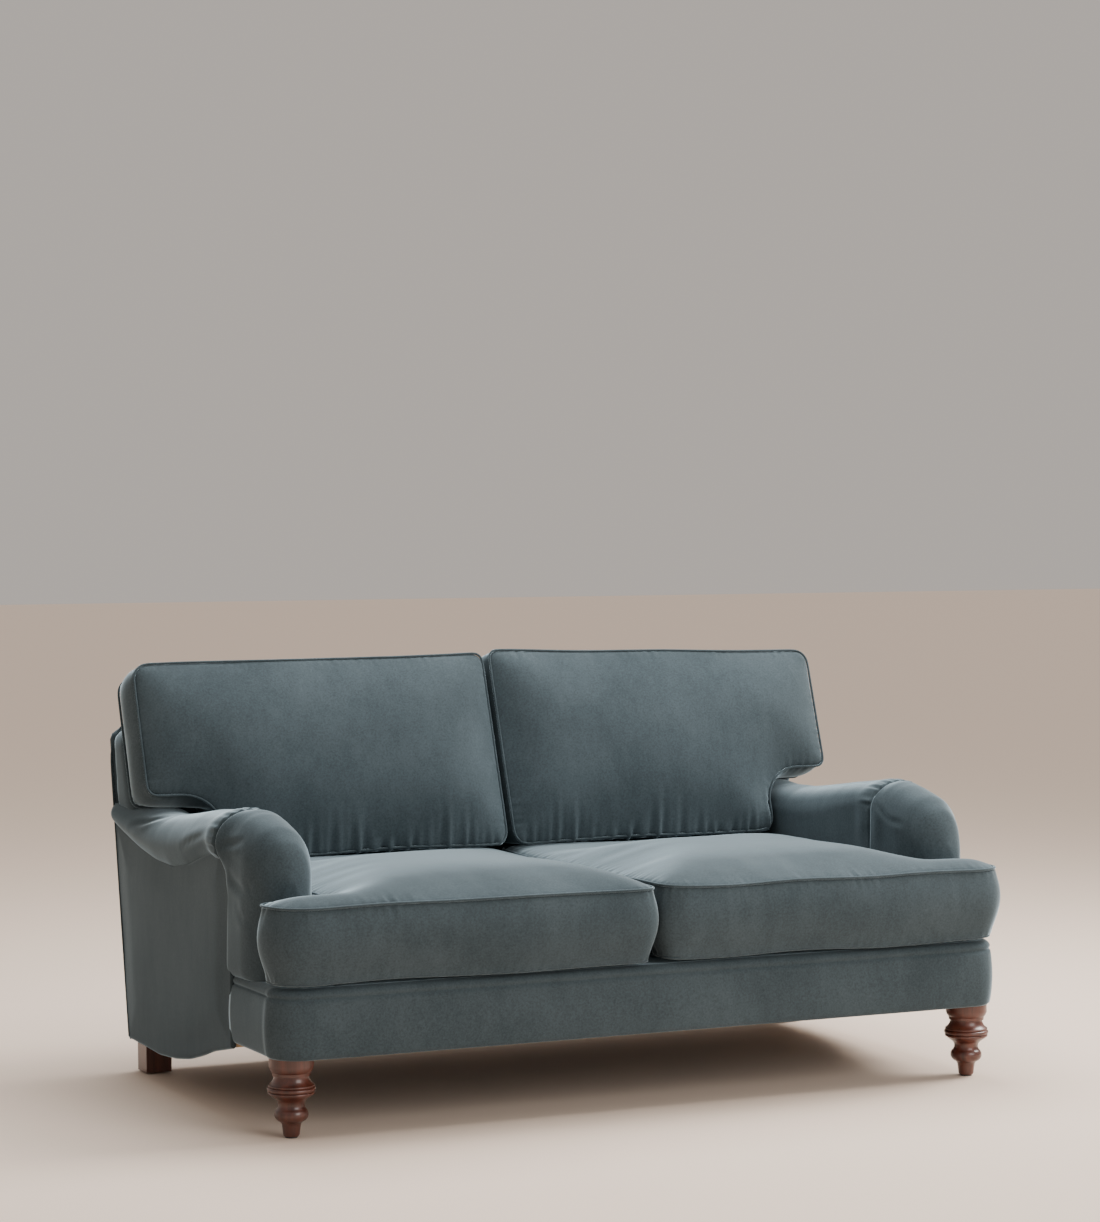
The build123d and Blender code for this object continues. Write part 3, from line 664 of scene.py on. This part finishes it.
def up_plane(z, out):
    """Distance up the inner back at which a height is reached, at a distance out from it."""
    origin = PLANE.translation
    return (z - origin.z - out * sin(CUSHION_LEAN)) / cos(CUSHION_LEAN)


def back_cushion(side):
    """A boxed back cushion with an ear over the arm, leaning on the inner back."""
    way = SIDES[side]
    rear, front = 0.012, 0.012 + BACK_BOX
    tuck = 0.007
    inner = 0.009
    body = ARM_IN_X - 0.014
    ear = BACK[1].x - tuck
    top = up_plane(BACK[1].z + 0.004, front)
    ear_low = up_plane(0.606, front)
    low = up_plane(SEAT_REAR + 0.006, front)
    corners = [(inner, low, 0.030), (body, low, 0.035), (body - 0.004, ear_low, 0.085),
               (ear, ear_low, 0.022), (ear + 0.002, top - 0.006, 0.032), (inner, top + 0.006, 0.020)]
    bm, front_path = block(corners, rear, front)
    piece = remesh(piece_from(bm, f"back_cushion_{side}_pad", VELVET), VOXEL)
    rear_path = [Vector((p.x, p.y, rear)) for p in front_path]
    seed = 5 if way > 0 else 17
    held = np.maximum.reduce([near_path(points_of(piece), path, SEAM_REACH) for path in (front_path, rear_path)])
    fill_out(piece, front_path, front, 0.040, 0.20, 0.009, rear, front)
    points = points_of(piece)
    for cloud in (points, front_path, rear_path):
        bow = wobble(cloud, seed, 0.3, 0.007)
        for i, p in enumerate(cloud):
            p[1] += bow[i]
    put_points(piece, points)
    rest = puff(piece, 3.0, 0.020, np.minimum(held * 2, 1.0))
    calm(piece, held, 10)
    points = points_of(piece)
    points[:, 2] = np.maximum(points[:, 2], 0.0015)
    put_points(piece, points)
    seams = [evened(carried(rest, piece, path), 3) for path in (front_path, rear_path)]
    piece.data.transform(PLANE)
    seams = [[PLANE @ p for p in seam] for seam in seams]
    points = points_of(piece)
    for cloud in (points, *seams):
        for p in cloud:
            p[2] = max(p[2], SEAT_REAR + 0.0008)
            p[0] = min(max(p[0], 0.0008), ARM_IN_X - 0.002 if p[2] < 0.570 else BACK[1].x + 0.008)
    put_points(piece, points)
    subdivide(piece)
    puckers(piece, seams, seed, 0.0017)
    gathers(piece, seed)
    welts = tube(f"back_welt_{side}", seams, WELT, VELVET)
    if way < 0:
        mirror_x(piece)
        mirror_x(welts)
    body = f"back_cushion_{side}"
    finish_piece(piece, body, nodes=(f"back_cushion_cover_{side}", f"back_cushion_core_{side}"))
    finish_piece(welts, body)
    return piece


def gathers(piece, seed):
    """Short folds that rise from the lower edge of a back cushion's front."""
    points, normals = points_of(piece), normals_of(piece)
    across = points[:, 0]
    waves = np.zeros(len(points))
    for k in range(4):
        pitch = 0.022 + 0.009 * k
        waves += np.sin(across * 2 * pi / pitch + seed + 2.1 * k + 3 * np.sin(across * 9 + k))
    reach = 0.045 + 0.025 * np.sin(across * 23 + seed)
    front = smoothstep(0.2, 0.6, -normals[:, 1])
    fade = np.exp(-((points[:, 2] - SEAT_REAR) / reach) ** 2) * front
    put_points(piece, points + normals * (0.0019 * waves * fade)[:, None])


# ---------------------------------------------------------------- arms
CREST = eased([(-0.412, 0.470), (-0.408, 0.484), (-0.399, 0.526), (-0.383, 0.561), (-0.343, 0.587),
               (-0.270, 0.606), (-0.207, 0.610), (-0.155, 0.608), (-0.037, 0.597), (0.086, 0.579),
               (0.173, 0.568), (0.276, 0.566), (0.342, 0.571), (0.470, 0.578)], 0.008)
ROLL_SEAM = eased([(-0.230, 0.512), (-0.190, 0.520), (-0.152, 0.524), (-0.091, 0.511), (0.001, 0.484),
                   (0.096, 0.470), (0.187, 0.476), (0.293, 0.491), (0.395, 0.512), (0.480, 0.536)], 0.02)
ROLL_MID_X = (ARM_ROLL[0].x + ARM_ROLL[1].x) / 2
ROLL_HALF = (ARM_ROLL[1].x - ARM_ROLL[0].x) / 2
ARM_BASE = DECK_Z - 0.004
ARM_END_Y = 0.474


def arm_section(y, scale):
    """Points round the arm at a place along it: up the outer side, over the top, down the inner side."""
    dome = 1.0 - smoothstep(RING_Y - 0.035, RING_Y, y)
    crest, seam = float(CREST(y)), float(ROLL_SEAM(y))
    half = ROLL_HALF * (1 - dome) + (SIDE_X - ARM_IN_X) / 2 * dome
    middle = ROLL_MID_X * (1 - dome) + (SIDE_X + ARM_IN_X) / 2 * dome
    tall = (crest - seam) / 1.573 * (1 - dome) + 0.082 * dome
    near = y - ARM_NOSE_Y
    inset = 0.058 * (1 - sqrt(1 - (1 - near / 0.10) ** 2)) if near < 0.10 else 0.0
    far = ARM_END_Y - y
    if far < 0.028:
        shrink = 0.028 - sqrt(max(0.0, 0.028**2 - (0.028 - far) ** 2))
        half, tall = half - shrink, tall - shrink * 0.9
    half -= inset
    level = crest - tall
    begin = radians(-40 * (1 - dome))
    wall = SIDE_X - 0.010 * (1 - dome) - inset * 1.0
    wall = min(wall, middle + half * cos(begin))
    power = 2.0 + 0.1 * dome
    out = []
    for k in range(16):
        out.append((wall, ARM_BASE + (level + tall * sin(begin) - 0.004 - ARM_BASE) * k / 16))
    for k in range(56):
        angle = begin + (pi - begin) * k / 55
        c, s = cos(angle), sin(angle)
        out.append((middle + half * np.sign(c) * abs(c) ** (2 / power),
                    level + tall * np.sign(s) * abs(s) ** (2 / power)))
    for k in range(1, 17):
        out.append((middle - half, level + (ARM_BASE - level) * k / 16))
    for k in range(1, 9):
        out.append((middle - half + (wall - middle + half) * k / 9, ARM_BASE))
    ring = np.array([(x, y, z) for x, z in out])
    lean = smoothstep(0.30, 0.46, y) * REAR_LEAN_SLOPE
    ring[:, 1] += lean * (ring[:, 2] - 0.55)
    centre = np.array([middle, y, (ARM_BASE + crest) / 2])
    return centre + (ring - centre) * (scale, 1.0, scale)


def arm_stations():
    """Places along the arm, closer at its nose, at the ring seam and at its end."""
    places = [ARM_NOSE_Y + 0.0005 + 0.060 * (1 - cos(pi / 2 * k / 14)) for k in range(14)]
    y = places[-1]
    while y < ARM_END_Y - 0.030:
        y += 0.0018 if abs(y - RING_Y) < 0.014 else 0.0055
        places.append(y)
    places += [ARM_END_Y - 0.028 * (1 - sin(pi / 2 * k / 8)) for k in range(9)]
    fills = [(places[0], k / 5) for k in range(5)]
    ends = [(places[-1], 1 - k / 5) for k in range(1, 6)]
    return fills + [(y, 1.0) for y in places] + ends


def crease(points, normals, path, width, depth, lip):
    """Presses a soft fold into the cloth along a path, with a lip on each side of it."""
    tree = kdtree.KDTree(len(path))
    for index, point in enumerate(path):
        tree.insert(point, index)
    tree.balance()
    for i, point in enumerate(points):
        _, index, away = tree.find(Vector(point))
        if away > 4 * width:
            continue
        fade = sin(pi * (index + 0.5) / len(path)) ** 0.6
        groove = -depth * np.exp(-((away / width) ** 2))
        rise = lip * np.exp(-(((away - 2.0 * width) / (1.2 * width)) ** 2))
        points[i] += normals[i] * (groove + rise) * fade


def on_surface(tree, path):
    """Drops the points of a path onto a surface."""
    out = []
    for start, end in zip(path, path[1:]):
        for k in range(12):
            spot = Vector(start).lerp(Vector(end), k / 12)
            out.append(tree.find_nearest(spot)[0])
    return evened(out, 6, closed=False)


def arm(side):
    """A padded arm: a rounded front, a ring seam, and a roll that thins towards the back."""
    way = SIDES[side]
    rings = np.array([arm_section(y, scale) for y, scale in arm_stations()])
    piece = skin(f"arm_{side}_pad", rings, VELVET)
    relax(piece, 2, 0.5)
    points, normals = points_of(piece), normals_of(piece)
    x, y, z = points.T
    seed = 2 if way > 0 else 9
    points += normals * wobble(points, seed, 0.16, 0.0035)[:, None]
    upper = smoothstep(0.44, 0.52, z)
    groove = np.exp(-((y - RING_Y) / 0.0038) ** 2) * smoothstep(0.42, 0.50, z)
    groove *= np.maximum(smoothstep(ARM_IN_X, ARM_IN_X + 0.025, x), 0.25)
    puff_front = np.exp(-((y - RING_Y + 0.028) / 0.020) ** 2) * upper
    puff_roll = np.exp(-((y - RING_Y - 0.030) / 0.026) ** 2) * upper
    around = np.arctan2(z - 0.555, x - ROLL_MID_X)
    pleat = np.sin(around * 19 + seed) + 0.7 * np.sin(around * 31 + 2 * seed) + 0.4 * np.sin(around * 47)
    fade = np.exp(-((y - RING_Y - 0.004) / 0.032) ** 2) * smoothstep(RING_Y, RING_Y + 0.006, y) * upper
    shift = -0.0095 * groove + 0.0032 * puff_front + 0.0030 * puff_roll + 0.0019 * pleat * fade
    points += normals * shift[:, None]
    put_points(piece, points)
    tree = BVHTree.FromPolygons([Vector(p) for p in points], [p.vertices[:] for p in piece.data.polygons])
    folds = [
        ([(0.830, -0.236, 0.492), (0.840, -0.275, 0.478), (0.836, -0.320, 0.470), (0.815, -0.372, 0.474)],
         0.0075, 0.0065, 0.0025),
        ([(0.835, -0.232, 0.548), (0.840, -0.268, 0.556), (0.830, -0.305, 0.566)], 0.007, 0.0030, 0.0012),
        ([(0.835, -0.290, 0.425), (0.840, -0.330, 0.405), (0.830, -0.375, 0.405)], 0.006, 0.003, 0.0015),
        ([(0.690, -0.230, 0.560), (0.682, -0.280, 0.535), (0.680, -0.340, 0.530)], 0.006, 0.003, 0.0015),
        ([(0.84, -0.150, 0.560), (0.85, -0.080, 0.545), (0.85, 0.000, 0.520)], 0.008, 0.0022, 0.0010),
        ([(0.80, 0.200, 0.590), (0.83, 0.260, 0.560), (0.845, 0.330, 0.535)], 0.008, 0.0024, 0.0012),
    ]
    points, normals = points_of(piece), normals_of(piece)
    for path, width, depth, lip in folds:
        crease(points, normals, on_surface(tree, path), width, depth, lip)
    put_points(piece, points)
    subdivide(piece)
    if way < 0:
        mirror_x(piece)
    nodes = [f"{name}_{side}" for name in ("arm_roll", "arm_front", "inner_arm")]
    return finish_piece(piece, "frame", nodes=nodes)


# ---------------------------------------------------------------- panels
def coons(low, high, near, far, across, up):
    """A grid between four edge lines, each a function of a share of its length."""
    u, v = np.meshgrid(across, up)
    lines = [np.array([[line(t) for t in share] for share in grid])
             for line, grid in ((low, u), (high, u), (near, v), (far, v))]
    u, v = u[..., None], v[..., None]
    corners = [np.array(low(0)), np.array(low(1)), np.array(high(0)), np.array(high(1))]
    flat = (1 - v) * lines[0] + v * lines[1] + (1 - u) * lines[2] + u * lines[3]
    flat -= ((1 - u) * (1 - v) * corners[0] + u * (1 - v) * corners[1]
             + (1 - u) * v * corners[2] + u * v * corners[3])
    return flat


def edged(count):
    """Shares from 0 to 1, closer together at both ends."""
    t = np.linspace(0, 1, count)
    return 0.55 * t + 0.45 * (1 - np.cos(pi * t)) / 2


def shell(grid, place, half, soft, crown, seed):
    """A thin padded panel on a grid: half its thickness, how wide its edge rounds, and how it crowns."""
    rows, columns, _ = grid.shape
    edge = np.minimum.reduce([
        np.linalg.norm(grid - grid[:1], axis=2), np.linalg.norm(grid - grid[-1:], axis=2),
        np.linalg.norm(grid - grid[:, :1], axis=2), np.linalg.norm(grid - grid[:, -1:], axis=2)])
    round_off = np.sqrt(np.clip(1 - (1 - np.minimum(edge / soft, 1)) ** 2, 0, 1))
    swell = crown * smoothstep(0.0, 0.09, edge)
    flat = grid.reshape(-1, 2)
    uneven = wobble(np.column_stack([flat, flat[:, :1] * 0]), seed, 0.2, 0.002).reshape(rows, columns)
    face = half * round_off + swell + uneven * round_off
    back = -half * round_off
    loops = np.concatenate([np.stack([place(*grid[r].T, face[r]) for r in range(rows)]),
                            np.stack([place(*grid[r].T, back[r])[::-1] for r in range(rows)])], axis=1)
    return loops


def side_cover(side):
    """The outer side panel under the arm roll, with its scalloped lower edge."""
    way = SIDES[side]
    hem = eased([(SIDE_FRONT_Y, 0.145), (-0.231, 0.139), (-0.147, 0.122), (-0.087, 0.104), (-0.001, 0.083),
                 (0.088, 0.070), (0.192, 0.063), (0.272, 0.066), (0.384, 0.068)], 0.03)
    front = eased([(0.145, SIDE_FRONT_Y), (0.450, SIDE_FRONT_Y + 0.002), (0.50, SIDE_FRONT_Y + 0.022),
                   (0.535, SIDE_FRONT_Y + 0.070)], 0.03)
    top_front, top_rear = SIDE_FRONT_Y + 0.070, 0.468
    rear_low = 0.384

    def low(t):
        y = SIDE_FRONT_Y + t * (rear_low - SIDE_FRONT_Y)
        return (y, float(hem(y)))

    def high(t):
        y = top_front + t * (top_rear - top_front)
        return (y, float(ROLL_SEAM(y)) + 0.004)

    def near(t):
        start, end = low(0), high(0)
        z = start[1] + t * (end[1] - start[1])
        return (float(front(z)) if 0 < t < 1 else (start[0], end[0])[int(t)], z)

    def far(t):
        start, end = low(1), high(1)
        return (start[0] + t * (end[0] - start[0]), start[1] + t * (end[1] - start[1]))

    grid = coons(low, high, near, far, edged(110), edged(70))
    middle = SIDE_X - 0.006

    def place(y, z, out):
        return np.stack([middle + out, y, z], axis=-1)

    loops = shell(grid, place, 0.006, 0.007, 0.0035, 21 if way > 0 else 27)
    # the panel takes the darkened copy of the velvet: painted shade on the outer side
    piece = skin(f"side_cover_{side}_panel", loops, SHADED_SIDE_VELVET)
    if way < 0:
        mirror_x(piece)
    return finish_piece(piece, "frame", nodes=(f"side_cover_{side}",))


# ---------------------------------------------------------------- back
SHOULDER_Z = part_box("shoulder_cover_right")[1].z
BACK_TOP = OUTER_BACK[1].z - 0.014
CROWN_X = SIDE_X - 0.190
BACK_LINE = eased([(0.0, BACK_TOP), (CROWN_X - 0.12, BACK_TOP - 0.001), (CROWN_X - 0.03, BACK_TOP - 0.012),
                   (CROWN_X + 0.05, BACK_TOP - 0.045), (SIDE_X - 0.03, SHOULDER_Z + 0.016),
                   (SIDE_X, SHOULDER_Z - 0.004)], 0.035)


def rear_y(z):
    """Rear face of the back at a height."""
    return OUTER_BACK[1].y - REAR_LEAN_SLOPE * (OUTER_BACK[1].z - z)


def outer_back():
    """The rear panel: straight hem, raked, with the line of the cut-down shoulders on top."""
    low_z = OUTER_BACK[0].z
    side_top = SHOULDER_Z - 0.014

    def low(t):
        return ((2 * t - 1) * (SIDE_X - 0.001), low_z)

    def high(t):
        x = (2 * t - 1) * (SIDE_X - 0.001)
        return (x, min(float(BACK_LINE(abs(x))), BACK_TOP) - 0.002 if 0 < t < 1 else side_top)

    def near(t):
        return (0.001 - SIDE_X, low_z + t * (side_top - low_z))

    def far(t):
        return (SIDE_X - 0.001, low_z + t * (side_top - low_z))

    grid = coons(low, high, near, far, edged(170), edged(90))

    def place(x, z, out):
        return np.stack([x, rear_y(z) - 0.007 + out, z], axis=-1)

    piece = skin("outer_back_panel", shell(grid, place, 0.007, 0.009, 0.003, 33), VELVET)
    crown = [high(t) for t in np.linspace(0.01, 0.99, 180)]
    rim = [Vector((x, rear_y(z) - 0.010, z + 0.002)) for x, z in crown]
    sides = [Vector((-SIDE_X, rear_y(z) - 0.010, z)) for z in np.linspace(0.075, side_top, 40)]
    rim = sides + rim + [Vector((-p.x, p.y, p.z)) for p in reversed(sides)]
    welt = tube("outer_back_welt", [evened(rim, 6, closed=False)], 0.0028, WELT_VELVET, closed=False)
    finish_piece(welt, "frame")
    return finish_piece(piece, "frame", nodes=("back_outer_cover",))


def inner_back():
    """The padded back between and above the arms, rounded over its top edge."""
    low_z, shelf_z = DECK_Z - 0.002, ARM_FRONT[1].z - 0.060
    half_low, half_top = ARM_IN_X - 0.002, SIDE_X - 0.002
    rows = []
    heights = list(np.linspace(low_z, shelf_z, 34)) + list(np.linspace(shelf_z + 0.004, BACK_TOP - 0.004, 40))
    corner = 0.030
    for z in heights:
        half = half_low if z <= shelf_z else half_top
        if z > SHOULDER_Z - 0.03:
            reach = [x for x in np.linspace(0, SIDE_X, 400) if float(BACK_LINE(x)) >= z + 0.003]
            half = min(half, max(reach) if reach else 0.05)
        front = PLANE.translation.y + (z - PLANE.translation.z) * sin(CUSHION_LEAN) / cos(CUSHION_LEAN)
        rear = rear_y(z) - 0.013
        fall = BACK_TOP - z
        ease = corner - sqrt(max(0.0, corner**2 - (corner - fall) ** 2)) if fall < corner else 0.0
        front += ease
        loop = []
        count = 60
        for k in range(count):
            x = -half + 2 * half * k / (count - 1)
            edge = half - abs(x)
            drop = 0.022 - sqrt(max(0.0, 0.022**2 - (0.022 - edge) ** 2)) if edge < 0.022 else 0.0
            loop.append((x, front + drop, z))
        for k in range(count):
            x = half - 2 * half * k / (count - 1)
            loop.append((x, rear, z))
        rows.append(loop)
    rows = np.array(rows)
    shut = [rows[:1] * (1, 1, 1) + (rows[:1].mean(axis=1, keepdims=True) - rows[:1]) * k for k in (1.0, 0.5)]
    lid = [rows[-1:] + (rows[-1:].mean(axis=1, keepdims=True) - rows[-1:]) * k for k in (0.5, 1.0)]
    piece = skin("inner_back_pad", np.concatenate(shut + [rows] + lid), VELVET)
    remesh(piece, 0.010)
    relax(piece, 5)
    points, normals = points_of(piece), normals_of(piece)
    points += normals * wobble(points, 41, 0.25, 0.003)[:, None]
    put_points(piece, points)
    nodes = ("back_inner_pad", "shoulder_cover_left", "shoulder_cover_right")
    return finish_piece(piece, "frame", nodes=nodes)


# ---------------------------------------------------------------- border and deck
def border_path():
    """The border's outer line in plan, from the rear end on the left round to the right."""
    start_y, step = SIDE_FRONT_Y + 0.012, 0.01   # it starts tucked behind the side panel
    count = int((start_y - BORDER_Y - CORNER) / step)
    right = [(SIDE_X - 0.003, start_y - k * step) for k in range(count)]
    bend = [(SIDE_X - CORNER + CORNER * cos(a), BORDER_Y + CORNER - CORNER * sin(a))
            for a in np.linspace(0, pi / 2, 16)]
    front = [(x, BORDER_Y) for x in np.linspace(SIDE_X - CORNER, 0, 90)[1:]]
    half = right + bend + front
    return [Vector((x, y, 0)) for x, y in half] + [Vector((-x, y, 0)) for x, y in reversed(half[:-1])]


def border():
    """The padded band round the front, with a welt and a soft roll under the cushions."""
    path = border_path()
    profile = [(0.012, BORDER_LOW - 0.002), (0.005, BORDER_LOW - 0.001), (0.001, BORDER_LOW + 0.003)]
    profile += [(-0.0045 * sin(pi * t) ** 0.8, BORDER_LOW + 0.007 + t * (BORDER_TOP - BORDER_LOW - 0.012))
                for t in np.linspace(0, 1, 16)]
    profile += [(0.0035, BORDER_TOP - 0.002), (0.0030, BORDER_TOP), (0.0020, BORDER_TOP + 0.002)]
    profile += [(0.020 - 0.019 * cos(a), BORDER_TOP + 0.003 + 0.0155 * sin(a))
                for a in np.linspace(0.1, 1.9, 12)]
    profile += [(0.045, BORDER_TOP + 0.013), (0.085, BORDER_TOP + 0.011), (0.100, BORDER_TOP + 0.003)]
    profile += [(0.102, BORDER_TOP - 0.010)]
    profile += [(BORDER_THICK, z) for z in np.linspace(BORDER_TOP - 0.014, BORDER_LOW + 0.004, 8)]
    profile += [(0.022, BORDER_LOW - 0.002)]
    rings = []
    for i, spot in enumerate(path):
        along = (path[min(i + 1, len(path) - 1)] - path[max(i - 1, 0)]).normalized()
        inward = Vector((along.y, -along.x, 0))
        bulge = noise.noise(Vector((i * 0.045, 3.7, 0))) * 0.0016
        rings.append([(spot.x + inward.x * (d - bulge), spot.y + inward.y * (d - bulge), z)
                      for d, z in profile])
    rings = np.array(rings)
    middle = rings.mean(axis=1, keepdims=True)
    start = [rings[:1] + (middle[:1] - rings[:1]) * k for k in (1.0, 0.5)]
    end = [rings[-1:] + (middle[-1:] - rings[-1:]) * k for k in (0.5, 1.0)]
    piece = skin("border_band", np.concatenate(start + [rings] + end), VELVET)
    nodes = ("border_front", "border_side_left", "border_side_right", "edge_roll")
    return finish_piece(piece, "frame", nodes=nodes)


def deck():
    """The cloth deck under the loose cushions, with its top edges rounded and a sewn channel behind the front."""
    low, high = DECK
    bm = bmesh.new()
    bmesh.ops.create_cube(bm, size=1.0)
    for v in bm.verts:
        v.co = Vector([low[i] + (v.co[i] + 0.5) * (high[i] - low[i]) for i in range(3)])
    rim = [e for e in bm.edges if min(v.co.z for v in e.verts) > high.z - 1e-4]
    bmesh.ops.bevel(bm, geom=rim, offset=0.006, affect="EDGES", segments=3, profile=0.5, material=-1)
    bmesh.ops.subdivide_edges(bm, edges=[e for e in bm.edges if e.calc_length() > 0.2], cuts=60,
                              use_grid_fill=True)
    for v in bm.verts:
        if v.co.z > high.z - 0.001:
            channel = np.exp(-((v.co.y - low.y - 0.11) / 0.006) ** 2)
            v.co.z -= 0.001 + 0.004 * channel
    return finish_piece(piece_from(bm, "seat_deck_pad", DECK_CLOTH), "frame", nodes=("deck_pad",))


for side in SIDES:
    seat_cushion(side)
    back_cushion(side)
    arm(side)
    side_cover(side)
inner_back()
outer_back()
border()
deck()

FINISHES = {"stained_wood": LEG_WOOD, "wood_frame": FRAME_WOOD, "steel": STEEL, "nylon": NYLON,
            "webbing": WEBBING, "felt": FELT, "foam": DECK_CLOTH, "filling": FELT, "velvet": VELVET}
for part in frame["record"]["subparts"]:
    finish = FINISHES[part["material_slot"]]
    if part["node"] == "dust_cover":
        finish = LINER
    for holder in frame["nodes"][part["node"]].material_slots:
        holder.material = finish

# ---------------------------------------------------------------- floor, light and camera
FLOOR = bpy.data.materials.new("pale_floor")
FLOOR.use_nodes = True
FLOOR.node_tree.nodes["Principled BSDF"].inputs["Base Color"].default_value = (0.72, 0.59, 0.49, 1)
FLOOR.node_tree.nodes["Principled BSDF"].inputs["Roughness"].default_value = 0.7

floor_mesh = bmesh.new()
bmesh.ops.create_grid(floor_mesh, x_segments=1, y_segments=1, size=30)
floor = piece_from(floor_mesh, "studio_floor", FLOOR, recalc=False)

world = bpy.data.worlds.new("studio")
world.use_nodes = True
world.node_tree.nodes["Background"].inputs["Color"].default_value = (0.95, 0.87, 0.80, 1)
world.node_tree.nodes["Background"].inputs["Strength"].default_value = 0.55
bpy.context.scene.world = world


def softbox(name, place, aim, size, power, colour=(1, 1, 1)):
    """A square area light that points at a place."""
    light = bpy.data.lights.new(name, "AREA")
    light.size = size
    light.energy = power
    light.color = colour
    lamp = bpy.data.objects.new(name, light)
    lamp.location = place
    lamp.rotation_euler = (Vector(aim) - Vector(place)).to_track_quat("-Z", "Y").to_euler()
    bpy.context.scene.collection.objects.link(lamp)


sun = bpy.data.lights.new("soft_sun", "SUN")
sun.energy = 1.5
sun.angle = radians(28)
sun.color = (1.0, 0.95, 0.90)
sun_lamp = bpy.data.objects.new("soft_sun", sun)
sun_lamp.rotation_euler = Vector((-2.6, -0.1, -2.4)).to_track_quat("-Z", "Y").to_euler()
bpy.context.scene.collection.objects.link(sun_lamp)
softbox("key_light", (2.9, -0.4, 2.8), (0.0, 0.0, 0.4), 1.8, 160, (1.0, 0.97, 0.94))
softbox("front_light", (1.6, -4.6, 2.4), (0.1, 0.0, 0.4), 2.6, 125, (1.0, 0.97, 0.94))
softbox("fill_light", (-3.4, -2.4, 2.0), (0.0, 0.0, 0.4), 2.5, 2, (0.95, 0.97, 1.0))
softbox("top_light", (0.2, 0.8, 3.2), (0.0, 0.0, 0.4), 2.4, 135)

camera_data = bpy.data.cameras.new("camera")
camera_data.lens = 95.08
camera_data.sensor_width = 36
camera_data.sensor_fit = "AUTO"
camera = bpy.data.objects.new("camera", camera_data)
camera.location = (-3.01293, -6.23635, 1.23139)
camera.rotation_euler = (pi / 2 - 0.035, 0, -0.450530)
bpy.context.scene.collection.objects.link(camera)
bpy.context.scene.camera = camera

bpy.context.view_layer.update()
